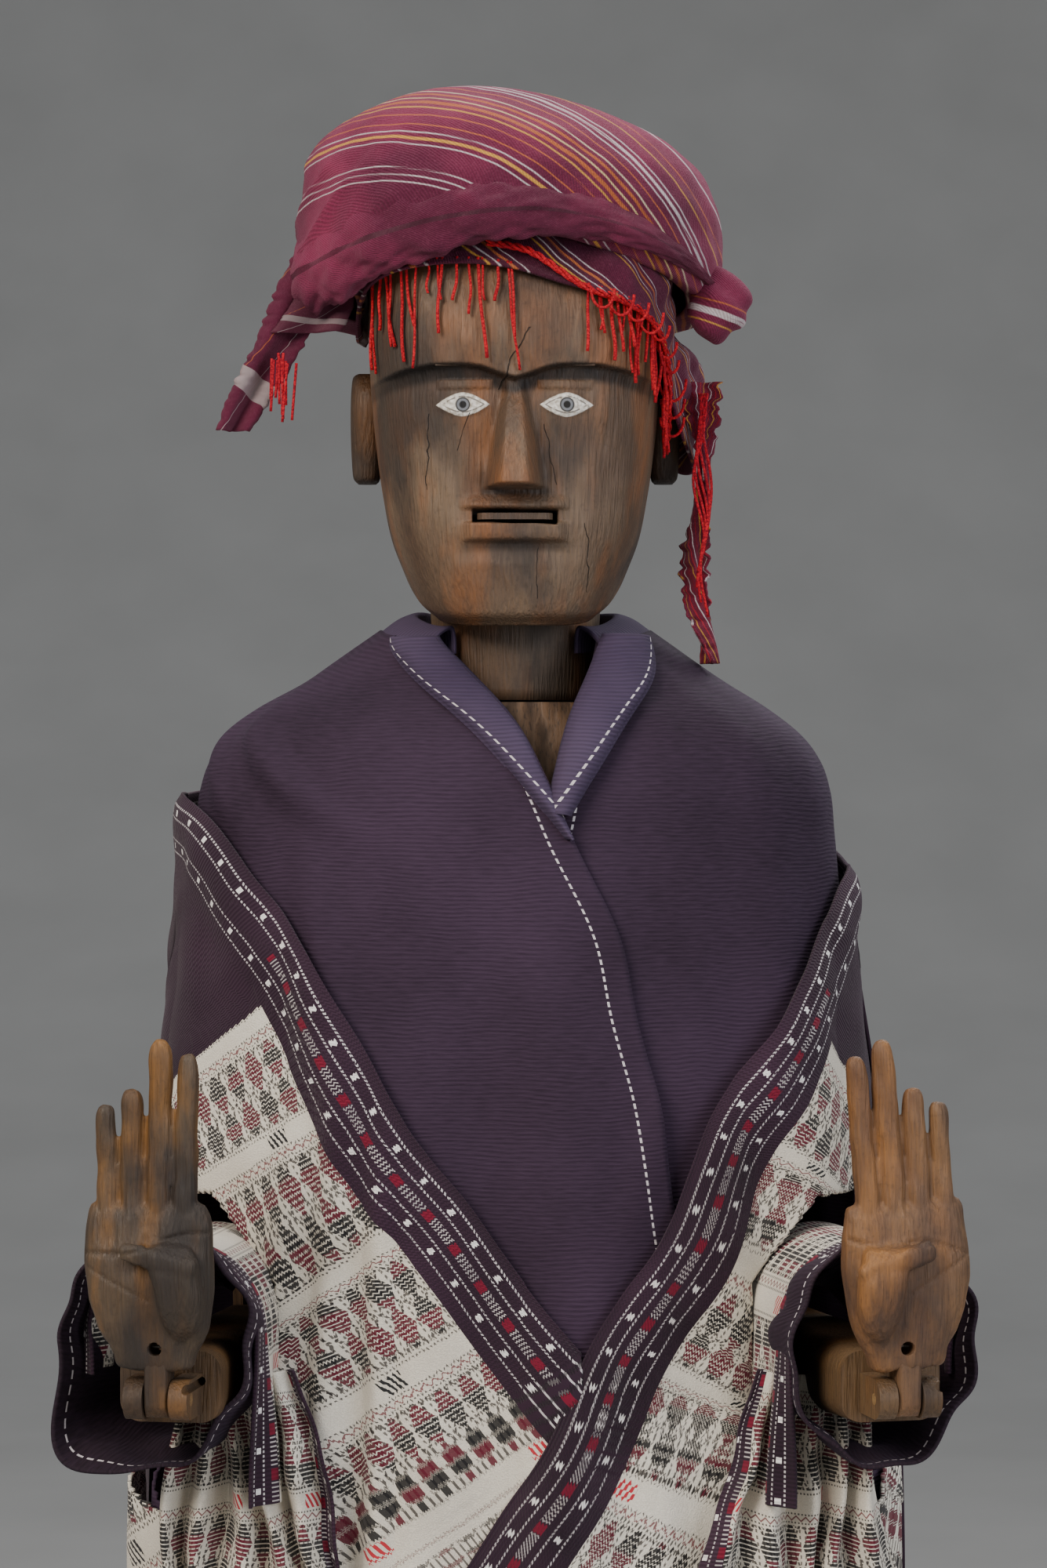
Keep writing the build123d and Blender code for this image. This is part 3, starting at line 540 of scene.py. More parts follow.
def painted_face(b: Bench, where: object, colour: object, height: object) -> tuple[object, object]:
    """Add painted shade in the brow recesses, under the nose and in the mouth, the painted eyes and the drying
    cracks to the head's wood.

    Args:
        b: The material's bench.
        where: Object coordinates.
        colour: Wood colour so far.
        height: Bump height so far.

    Returns:
        The new colour and height.
    """
    face = FaceLayout()
    x = b.add("SeparateXYZ", where, out=0)
    y = b.add("SeparateXYZ", where, out=1)
    z = b.add("SeparateXYZ", where, out=2)
    front = b.add("LESS_THAN", y, -0.055)
    wander = b.add("SUBTRACT", b.noise(where, 60.0, 0.3, 0.7, 3.0), 0.5)
    side = b.add("ABSOLUTE", x)
    # Painted shade: darkens the brow recesses, the nose's underside, the mouth slot and the hollow under the
    # lower lip.
    soot = b.add("Attribute", attribute_name="soot", out="Fac")
    soot = b.times(soot, b.add("MapRange", b.noise(where, 90.0, 0.3, 0.7, 4.0), 0.0, 1.0, 0.7, 1.0))
    colour = b.blend(soot, colour, "17120f")
    out = b.times(b.add("SUBTRACT", side, face.eye_x * MM), 1000.0)
    up = b.times(b.add("SUBTRACT", z, face.eye_z * MM), 1000.0)
    rough_edge = b.times(wander, 1.6)
    out_sharp = b.add("DIVIDE", b.add("ABSOLUTE", out), face.eye_half_width)
    lid = b.add("SUBTRACT", 1.0, b.add("POWER", out_sharp, 1.7))
    opening = b.add("SUBTRACT", b.times(lid, face.eye_half_height), b.add("ABSOLUTE", up))
    opening = b.add("ADD", opening, b.times(rough_edge, 0.35))
    white = b.times(b.spread(opening, -0.25, 0.35), front)
    chalk = b.blend(b.noise(where, 520.0, 0.35, 0.72, 4.0), "ebe6dc", "a09584")
    colour = b.blend(white, colour, chalk)
    rim = b.add("COMPARE", opening, 2.1, 0.42)
    rim = b.times(b.times(rim, white), b.noise(where, 300.0, 0.4, 0.5, 2.0))
    colour = b.wash(colour, rim, 0.75, "4b4036")
    reach = b.add("SQRT", b.add("ADD", b.add("POWER", out, 2.0), b.add("POWER", up, 2.0)))
    ring = b.times(b.spread(reach, 4.1, 3.7), front)
    colour = b.blend(ring, colour, "3c3a38")
    inner = b.times(b.spread(reach, 3.3, 2.9), front)
    colour = b.blend(inner, colour, "74767a")
    dot = b.times(b.spread(reach, 2.1, 1.7), front)
    colour = b.blend(dot, colour, "15120f")
    height = b.add("ADD", height, b.times(white, 0.25))
    for x0, z0, slope, z_low, z_high, width in face.cracks:
        line = b.add("SUBTRACT", x, b.add("MULTIPLY_ADD", b.add("SUBTRACT", z, z0 * MM), slope, x0 * MM))
        line = b.add("ADD", line, b.times(wander, 0.0035))
        near = b.spread(b.add("ABSOLUTE", line), width * MM, 0.3 * width * MM)
        span = b.between(z, z_low * MM, z_high * MM)
        crack = b.times(b.times(near, span), front)
        colour = b.wash(colour, crack, 0.85, "120c08")
        height = b.add("SUBTRACT", height, b.times(crack, 1.5))
    return colour, height


# Heights above the skirt's hem where each stripe starts and ends, in millimetres, and its colour.
HEM_STRIPES = (
    (34.0, 38.0, "7c1f33"), (44.0, 46.0, "cfc6c2"), (52.0, 64.0, "7c1f33"), (70.0, 72.0, "cfc6c2"),
    (78.0, 82.0, "2b2233"), (86.0, 87.5, "cfc6c2"),
)


@dataclass(frozen=True)
class RibbedCotton:
    """Handspun cotton, dyed a dull aubergine, with fine ribs across, their grooves painted darker as shade,
    and a dashed edge line.
    """

    name: str
    base: str
    shade: str
    rib: float = 2.3
    dash_at: float | None = None
    dash_length: float = 4.4
    dash_width: float = 1.3
    stripes: bool = False

    def make(self) -> bpy.types.Material:
        """Build the material. The cloth's first coordinate is the distance from its front edge."""

        def paint(b: Bench) -> tuple[object, object, object]:
            where = b.on_piece()
            u, v = b.on_cloth()
            wobble = b.add("SUBTRACT", b.noise(where, 16.0, 0.3, 0.7, 2.0), 0.5)
            row = b.add("ADD", b.add("DIVIDE", v, self.rib), b.times(wobble, 1.5))
            rib = b.add("PINGPONG", row, 0.5)
            yarn = b.noise(b.add("CombineXYZ", b.times(u, 0.12), b.times(v, 0.9), 0.0), 1.0, 0.35, 0.7, 3.0)
            fade = b.noise(where, 7.0, 0.35, 0.68, 4.0)
            colour = b.blend(fade, self.shade, self.base)
            # Painted shade: the grooves between the ribs are darkened, where the bump is low.
            colour = b.wash(colour, b.add("SUBTRACT", 0.5, rib), 0.75, "130d13")
            colour = b.wash(colour, yarn, 0.12, "5f4860")
            height = b.add("MULTIPLY_ADD", rib, 0.8, b.times(yarn, 0.25))
            if self.dash_at is not None:
                off = b.off(u, self.dash_at)
                line = b.add("LESS_THAN", off, self.dash_width / 2)
                beat = b.add("LESS_THAN", b.cell(v, self.dash_length), 0.62)
                dash = b.times(line, beat)
                colour = b.wash(colour, dash, 0.9, "d8cfd0")
                height = b.add("ADD", height, b.times(dash, 0.8))
            if self.stripes:
                for start, end, tint in HEM_STRIPES:
                    low = b.add("Attribute", attribute_name="hem", out="Fac")
                    inside = b.between(low, start, end)
                    beat = b.add("LESS_THAN", b.cell(u, 4.6), 0.66)
                    colour = b.wash(colour, b.times(inside, beat), 0.8, tint)
            return colour, height, None

        return shader(self.name, 0.86, 0.0005, paint, sheen=0.07, sheen_tint="9d8fae", specular=0.18)


@dataclass(frozen=True)
class StripedTwill:
    """Handwoven wine-red cotton twill with groups of thin gold, orange and white warp stripes."""

    name: str
    base: str = "842c4a"
    shade: str = "571a33"
    stripes: tuple[tuple[float, float, str], ...] = ()
    wale: float = 2.0
    white_end: float | None = None

    def make(self) -> bpy.types.Material:
        """Build the material. Stripes are (place, width, colour) across the cloth, in millimetres."""

        def paint(b: Bench) -> tuple[object, object, object]:
            where = b.on_piece()
            u, v = b.on_cloth()
            wobble = b.times(b.add("SUBTRACT", b.noise(where, 30.0, 0.3, 0.7, 2.0), 0.5), 1.3)
            across = b.add("ADD", v, wobble)
            wale = b.add("PINGPONG", b.add("DIVIDE", b.add("ADD", u, v), self.wale), 0.5)
            fade = b.noise(where, 13.0, 0.36, 0.66, 5.0)
            yarn = b.noise(where, 900.0, 0.4, 0.65, 2.0)
            colour = b.blend(fade, self.shade, self.base)
            worn = b.noise(where, 700.0, 0.5, 0.7, 5.0)
            colour = b.wash(colour, worn, 0.1, "a8637a")
            for place_at, width, tint in self.stripes:
                off = b.off(across, place_at)
                line = b.spread(off, 0.42 * width + 0.3, max(0.42 * width - 0.3, 0.03))
                broken = b.noise(b.add("CombineXYZ", b.times(u, 0.03), b.times(v, 0.6), 0.0), 1.0, 0.3,
                                 0.42, 3.0)
                colour = b.wash(colour, b.times(line, broken), 0.78, tint)
            if self.white_end is not None:
                end = b.add("Attribute", attribute_name="hem", out="Fac")
                band = b.add("COMPARE", end, self.white_end, 7.0)
                colour = b.wash(colour, band, 0.9, "b3a5a4")
            # Painted shade: the twill's grooves are darkened, where the bump is low.
            colour = b.wash(colour, b.add("SUBTRACT", 0.5, wale), 0.6, "2a0a16")
            height = b.add("MULTIPLY_ADD", wale, 1.2, b.times(yarn, 0.4))
            return colour, height, None

        return shader(self.name, 0.88, 0.0005, paint, sheen=0.2, sheen_tint="d8a0b0", specular=0.2)


@dataclass(frozen=True)
class ShawlWeave:
    """Handwoven cotton shawl: a dark ribbed ground with dotted edge lines, and a cream end with dark picks.

    The cloth's coordinates run along its edge from where the cream end starts, and across from its edge. The
    real picks are about 1 mm long; these are drawn coarser.
    """

    name: str
    border: float = 38.0
    pick: float = 2.4
    spindle: float = 13.0
    repeat: float = 66.0
    cream_from: float = 0.0

    def make(self) -> bpy.types.Material:
        """Build the material."""

        def paint(b: Bench) -> tuple[object, object, object]:
            where = b.on_piece()
            u, v = b.on_cloth()
            dark, dark_height = self.dark_ground(b, where, u, v)
            cream, cream_height = self.cream_end(b, where, u, v)
            is_cream = b.times(b.add("GREATER_THAN", u, self.cream_from),
                               b.add("GREATER_THAN", v, self.border))
            colour = b.blend(is_cream, dark, cream)
            height = b.add("ADD", b.times(cream_height, is_cream),
                           b.times(dark_height, b.add("SUBTRACT", 1.0, is_cream)))
            return colour, height, None

        return shader(self.name, 0.88, 0.0006, paint, sheen=0.12, sheen_tint="e0d8d8", specular=0.2)

    def dark_ground(self, b: Bench, where: object, u: object, v: object) -> tuple[object, object]:
        """Dark ribs, their grooves painted darker as shade, with dotted lines, white squares and the ladder of
        maroon blocks along the edge.
        """
        rib = b.add("PINGPONG", b.add("DIVIDE", u, 2.2), 0.5)
        fade = b.noise(where, 9.0, 0.35, 0.68, 4.0)
        colour = b.blend(fade, "2a1a26", "40293a")
        # Painted shade: the grooves between the ribs are darkened, where the bump is low.
        colour = b.wash(colour, b.add("SUBTRACT", 0.5, rib), 0.7, "120a10")
        beat = b.add("LESS_THAN", b.cell(u, 2.4), 0.55)
        for at in (5.5, 11.5, 23.5, 30.5):
            near = b.near(v, at, 0.45)
            colour = b.wash(colour, b.times(near, beat), 0.8, "d6cfce")
        for at, shift in ((8.5, 0.0), (27.0, 9.0)):
            cell = b.cell(b.add("ADD", u, shift), 20.7)
            square = b.times(b.add("LESS_THAN", cell, 0.15), b.near(v, at, 1.5))
            colour = b.blend(square, colour, "ece7e3")
        ladder = b.near(v, 17.5, 2.2)
        rung = b.add("LESS_THAN", b.cell(u, 2.3), 0.34)
        block_cell = b.cell(u, 23.0)
        is_block = b.add("LESS_THAN", block_cell, 0.26)
        started = b.add("GREATER_THAN", u, -20.0)
        ladder = b.times(ladder, started)
        bars = b.times(ladder, b.times(rung, b.add("SUBTRACT", 1.0, is_block)))
        colour = b.wash(colour, bars, 0.75, "cdc5c2")
        colour = b.blend(b.times(ladder, is_block), colour, "74142c")
        return (colour, b.times(rib, 1.5))

    def cream_end(self, b: Bench, where: object, u: object, v: object) -> tuple[object, object]:
        """Cream ground with bands of spindles, plain strips, zigzag bands and a few small motifs."""
        weave = b.noise(where, 1300.0, 0.4, 0.62, 2.0)
        fade = b.noise(where, 11.0, 0.35, 0.7, 4.0)
        colour = b.blend(fade, "cfc6b5", "e9e2d3")
        colour = b.wash(colour, weave, 0.18, "8d8476")
        cell = b.cell(u, self.repeat)
        along = b.times(cell, self.repeat)
        turn = b.add("FLOOR", b.add("DIVIDE", u, self.repeat))
        picked = b.add("LESS_THAN", b.cell(u, self.pick), 0.7)
        shifted = b.add("MULTIPLY_ADD", turn, 0.5 * self.spindle, v)
        column = b.cell(shifted, self.spindle)
        lane = b.add("FLOOR", b.add("DIVIDE", shifted, self.spindle))
        middle = b.off(column, 0.5)
        zone = b.between(along, 19.0, 65.0)
        taper = b.add("PINGPONG", b.add("SUBTRACT", along, 19.0), 11.5)
        wide = b.add("MULTIPLY_ADD", taper, 0.033, 0.09)
        spindle = b.times(b.add("LESS_THAN", middle, wide), b.times(picked, zone))
        edge_line = b.off(middle, b.add("SUBTRACT", 0.5, wide))
        outline = b.times(b.add("LESS_THAN", edge_line, 0.05), b.times(picked, zone))
        fine = b.add("LESS_THAN", b.cell(v, 3.2), 0.3)
        fine = b.times(fine, b.add("LESS_THAN", b.cell(u, 3.4), 0.55))
        fine = b.times(fine, zone)
        pick_noise = b.add("CombineXYZ", lane, b.add("FLOOR", b.add("DIVIDE", u, 8.4)), 0.0)
        red = b.add("GREATER_THAN", b.add("TexWhiteNoise", pick_noise, out="Value"), 0.52)
        ink = b.blend(red, "1b1a1c", "5f1428")
        colour = b.wash(colour, fine, 0.8, "2a2422")
        colour = b.wash(colour, outline, 0.85, "221b1c")
        colour = b.wash(colour, spindle, 0.95, ink)
        height = b.add("MULTIPLY_ADD", b.add("MAXIMUM", spindle, outline), 1.0, b.times(weave, 0.3))
        dots = b.add("LESS_THAN", b.cell(v, 1.9), 0.5)
        for at in (1.0, 12.5, 17.5, 20.0, 64.5):
            line = b.near(along, at, 0.5)
            colour = b.wash(colour, b.times(line, dots), 0.85, "25211f")
        zig = b.add("PINGPONG", v, 2.6)
        zig_off = b.off(b.add("SUBTRACT", along, 13.7), zig)
        zigzag = b.add("LESS_THAN", zig_off, 0.55)
        colour = b.wash(colour, zigzag, 0.85, "6a1c2c")
        motif_cell = b.cell(b.add("MULTIPLY_ADD", turn, 37.0, v), 92.0)
        in_motif = b.times(b.add("LESS_THAN", motif_cell, 0.13), b.between(along, 2.6, 10.8))
        hatch = b.add("PINGPONG", b.add("ADD", v, b.times(along, 0.45)), 1.5)
        motif = b.times(in_motif, b.add("LESS_THAN", hatch, 0.75))
        hue = b.add("GREATER_THAN", b.add("FRACT", b.times(turn, 0.37)), 0.4)
        colour = b.blend(motif, colour, b.blend(hue, "2a2a2a", "b8323c"))
        return colour, height


@dataclass(frozen=True)
class Yarn:
    """Loose handspun yarn, dyed: soft, matt, with a little darker twist."""

    name: str
    tint: str
    shade: str

    def make(self) -> bpy.types.Material:
        """Build the material."""

        def paint(b: Bench) -> tuple[object, object, object]:
            where = b.on_piece()
            twist = b.noise(where, 900.0, 0.4, 0.62, 2.0)
            broad = b.noise(where, 60.0, 0.35, 0.7, 2.0)
            colour = b.blend(twist, self.tint, self.shade)
            colour = b.wash(colour, broad, 0.4, self.shade)
            return colour, twist, None

        return shader(self.name, 0.85, 0.0003, paint, sheen=0.3, sheen_tint=self.tint, specular=0.2)


@dataclass(frozen=True)
class PlainWood:
    """Adzed and oiled timber: soft satin, long grain, darker pores."""

    name: str
    base: str
    dark: str
    stretch: tuple[float, float, float] = (1.0, 1.0, 0.08)

    def make(self) -> bpy.types.Material:
        """Build the material."""

        def paint(b: Bench) -> tuple[object, object, object]:
            where = b.on_piece()
            grain = b.noise(where, 160.0, 0.35, 0.66, 6.0, self.stretch)
            broad = b.noise(where, 9.0, 0.35, 0.68, 4.0)
            pore = b.noise(where, 900.0, 0.55, 0.66, 3.0, self.stretch)
            colour = b.blend(grain, self.base, self.dark)
            colour = b.wash(colour, broad, 0.5, self.dark)
            colour = b.wash(colour, pore, 0.5, "150d08")
            rough = b.add("MapRange", grain, 0.0, 1.0, 0.5, 0.72)
            return (colour, b.add("SUBTRACT", broad, b.times(grain, 0.5)), rough)

        return shader(self.name, 0.6, 0.0008, paint, specular=0.35)


@dataclass(frozen=True)
class RustyWire:
    """Drawn iron wire with a skin of rust: dull, brown, a little metal showing."""

    name: str = "iron_wire_rusted"

    def make(self) -> bpy.types.Material:
        """Build the material."""

        def paint(b: Bench) -> tuple[object, object, object]:
            where = b.on_piece()
            rust = b.noise(where, 500.0, 0.4, 0.6, 4.0)
            return b.blend(rust, "8c8780", "5a3a28"), rust, b.add("MapRange", rust, 0.0, 1.0, 0.35, 0.8)

        material = shader(self.name, 0.5, 0.0002, paint)
        for node in material.node_tree.nodes:
            if node.type == "BSDF_PRINCIPLED":
                node.inputs["Metallic"].default_value = 0.6
        return material


def dress(piece: bpy.types.Object, material: bpy.types.Material, body: str | None) -> None:
    """Give a piece its material, and let it ride on a body."""
    piece.data.materials.clear()
    piece.data.materials.append(material)
    if body:
        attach(piece, body)


# ------------------------------------------------------------ head


@dataclass(frozen=True)
class FaceLayout:
    """Places on the carved face, in millimetres."""

    eye_x: float = 27.5
    eye_z: float = 1192.2
    eye_half_width: float = 14.2
    eye_half_height: float = 6.2
    brow: Curve = (
        (0, 1206), (8, 1208.5), (18, 1212), (35, 1213.5), (55, 1212), (76, 1207),
    )
    nose_foot: float = 1148.6
    nose_out: Curve = (
        (1146, 27), (1150, 27), (1165, 22), (1180, 15.5), (1195, 8.5), (1207, 3), (1214, 0),
    )
    nose_half: Curve = ((1146, 17.6), (1165, 15), (1180, 12), (1195, 8.5), (1214, 7))
    mouth_z: float = 1133.4
    mouth_depth: float = 17.0
    cracks: Curve = (
        (-7.0, 1203.0, 0.5, 1200.0, 1232.0, 0.5), (-46.0, 1170.0, 0.05, 1148.0, 1188.0, 0.3),
        (21.0, 1160.0, -0.2, 1150.0, 1182.0, 0.25), (-22.0, 1196.0, 0.35, 1168.0, 1188.0, 0.25),
        (12.0, 1105.0, 0.02, 1090.0, 1117.0, 0.25), (38.0, 1110.0, -0.04, 1094.0, 1130.0, 0.25),
    )


@dataclass
class Head:
    """Carved head and neck in one block, with its painted face."""

    face: FaceLayout = field(default_factory=FaceLayout)
    neck_foot: float = 1037.4
    neck_foot_radius: float = 44.0
    neck_radius: float = 47.5
    crown: float = 1327.0
    squareness: float = 3.0
    ear_x: float = 82.0
    half_width: Curve = (
        (1072, 40), (1080, 48), (1088, 52.5), (1096, 56), (1108, 61), (1122, 66.5), (1150, 72.5),
        (1180, 76.5), (1208, 79), (1240, 80), (1270, 78), (1300, 64), (1328, 38),
    )
    front: Curve = (
        (1074, 79), (1082, 84), (1096, 88), (1108, 90), (1130, 92), (1160, 93.5), (1190, 97), (1210, 102.5),
        (1222, 104), (1240, 103), (1262, 98), (1290, 84), (1328, 48),
    )
    back: Curve = (
        (1100, 54), (1120, 70), (1150, 86), (1200, 95), (1250, 96), (1290, 86), (1328, 50),
    )
    jaw: Curve = (
        (0, 1076.5), (24, 1077), (42, 1080.5), (66, 1091), (95, 1102), (140, 1108), (180, 1110),
    )

    def radius(self, turn: Array, z: Array) -> Array:
        """Distance of the plain head's surface from the neck's axis, without the features."""
        a = lookup(self.half_width, z)
        depth = np.where(np.cos(turn) > 0, lookup(self.front, z), lookup(self.back, z))
        n = self.squareness - 0.6 * (np.cos(turn) < 0)
        return oval(turn, a, depth, n)

    def relief(self, x: Array, z: Array) -> Array:
        """How far the carved features stand out of the plain face."""
        face = self.face
        below = lookup(face.brow, np.abs(x)) - z
        recess = lookup([(0, 7.8), (9, 7.4), (16, 4.8), (45, 2.6), (85, 0.6)], below)
        out = -recess * ease(0, 1.8, below) * (1 - 0.75 * ease(60, 78, np.abs(x)))
        lid = bump(np.abs(x), face.eye_x - 1, 15.5) > 0.02
        out += np.where(lid, 1.2 * ease(1200.2, 1201.2, z) * (1 - ease(1204.6, 1205.6, z)), 0)
        eye = ((np.abs(x) - face.eye_x) / face.eye_half_width) ** 2
        eye += ((z - face.eye_z) / face.eye_half_height) ** 2
        out += 0.9 * (1 - ease(0.4, 1.1, eye))
        half = lookup(face.nose_half, z)
        nose = lookup(face.nose_out, z) * (1 - ease(0.34, 1.0, np.abs(x) / half))
        out += nose * ease(face.nose_foot - 0.8, face.nose_foot + 0.8, z)
        across = 1 - ease(20, 31, np.abs(x))
        out += 4.6 * ease(1137.0, 1138.2, z) * (1 - ease(1139, 1146, z)) * across
        out += 5.6 * (1 - ease(1129.6, 1131, z)) * ease(1119.2, 1121.6, z) * (1 - ease(22, 30, np.abs(x)))
        slant = 0.035 * x
        slot = (1 - ease(2.9, 3.7, np.abs(z - face.mouth_z + slant))) * (1 - ease(21.6, 22.6, np.abs(x)))
        out -= face.mouth_depth * slot
        out -= 1.6 * bump(z, 1116, 9) * (1 - ease(18, 40, np.abs(x)))
        out += 0.32 * ripple(x, 0.4 * z, 13, 3) + 0.16 * ripple(x, 0.2 * z, 4.5, 5)
        return out

    def soot(self, x: Array, z: Array) -> Array:
        """Share of painted shade in the brow recesses, under the nose, in the mouth slot and under the lower
        lip.
        """
        face = self.face
        below = lookup(face.brow, np.abs(x)) - z
        inner = 1 - 0.45 * ease(50, 74, np.abs(x))
        soot = ease(-1.6, 0.8, below) * (1 - ease(6.4, 11, below)) * inner
        lid = (np.abs(np.abs(x) - face.eye_x + 1) < 15) & (z < 1205.4)
        soot = np.where(lid, 0.25 * soot, soot)
        soot += 0.8 * bump(z, face.nose_foot - 2.2, 3.4) * (1 - ease(15, 20, np.abs(x)))
        soot += 0.95 * (1 - ease(3.0, 4.2, np.abs(z - face.mouth_z))) * (1 - ease(21, 23.5, np.abs(x)))
        soot += 0.5 * bump(z, 1117.5, 4.5) * (1 - ease(24, 32, np.abs(x)))
        return np.clip(soot, 0, 1)

    def make(self) -> bpy.types.Object:
        """Build the head and dress it."""
        ahead = np.radians(np.concatenate([np.linspace(-84, 84, 330), np.linspace(84, 276, 64)[1:-1]]))
        sideways = np.abs(np.degrees(np.arctan2(np.sin(ahead), np.cos(ahead))))
        edge = lookup(self.jaw, sideways)
        lift = np.concatenate([np.linspace(0, 0.7, 210), np.linspace(0.7, 1, 26)[1:]])[:, None]
        z = edge[None] + lift * (self.crown - edge[None])
        turn = np.broadcast_to(ahead[None], z.shape)
        r = self.radius(turn, z) - 6.0 * (1 - ease(0, 1, (z - edge) / 8)) ** 2
        x, y = r * np.sin(turn), -r * np.cos(turn)
        front = ease(0.1, 0.5, np.cos(turn))
        y = y - self.relief(x, z) * front
        face_points = np.stack([x, y, z], axis=-1)
        # Painted shade share of each face point, kept as a point attribute.
        soot = self.soot(x, z) * front
        rim = r[0]
        under = []
        for part in np.linspace(0, 1, 9)[1:]:
            reach = rim + part * (self.neck_radius - rim)
            under.append((reach, edge + 0.66 * (rim - reach) * ease(0, 0.3, np.array(part))))
        neck_top = under[-1][1]
        for part in np.linspace(0, 1, 10)[1:]:
            reach = np.full_like(rim, self.neck_radius + part * (self.neck_foot_radius - self.neck_radius))
            under.append((reach, neck_top + part * (self.neck_foot - neck_top)))
        low = [np.stack([reach * np.sin(ahead), -reach * np.cos(ahead), height], axis=-1) for reach,
               height in under]
        points = np.concatenate([np.stack(low[::-1]), face_points])
        shares = np.concatenate([np.zeros((len(low), len(ahead))), soot])
        piece = grid_mesh("carved_head", points, wrap=True, marks={"soot": shares})
        close_ends(piece)
        wood = CarvedWood("jackfruit_wood_carved_face", "5a4534", "8a5832", "2b2725", "75604b",
                          features=painted_face, dark_low=0.49, warm_low=0.46)
        dress(piece, wood.make(), "head")
        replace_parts(piece, "head_block")
        self.ears()
        return piece

    def ears(self) -> None:
        """Flat carved ears, let in beside the eyes."""
        look = CarvedWood("jackfruit_wood_carved_ears", "4a3a2e", "6a4a2f", "24211f", "5d4d3f", dark_low=0.45)
        material = look.make()
        for side in Side:
            x = side.value * self.ear_x
            rows = [(1158, x, 14, 5, 3), (1161, x, 13, 7, 9), (1172, x, 13, 8, 13), (1186, x, 12, 8.5, 15),
                    (1200, x, 12, 8.5, 16.5), (1210, x, 12, 8, 14.5), (1216, x, 13, 7, 9),
                    (1218, x, 13, 4, 3)]
            piece = blob(f"carved_ear_{side.label}", rows, 48, 2.6)
            rim = blob("ear_rim", [(z + 0.4, x + 1.2 * side.value, y - 7, 0.9 * a, 0.42 * b)
                                   for z, x, y, a, b in rows], 32, 2.2)
            piece = join(piece.name, [piece, rim])
            dress(piece, material, "head")
            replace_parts(piece, f"ear_{side.label}")


# ------------------------------------------------------------ turban


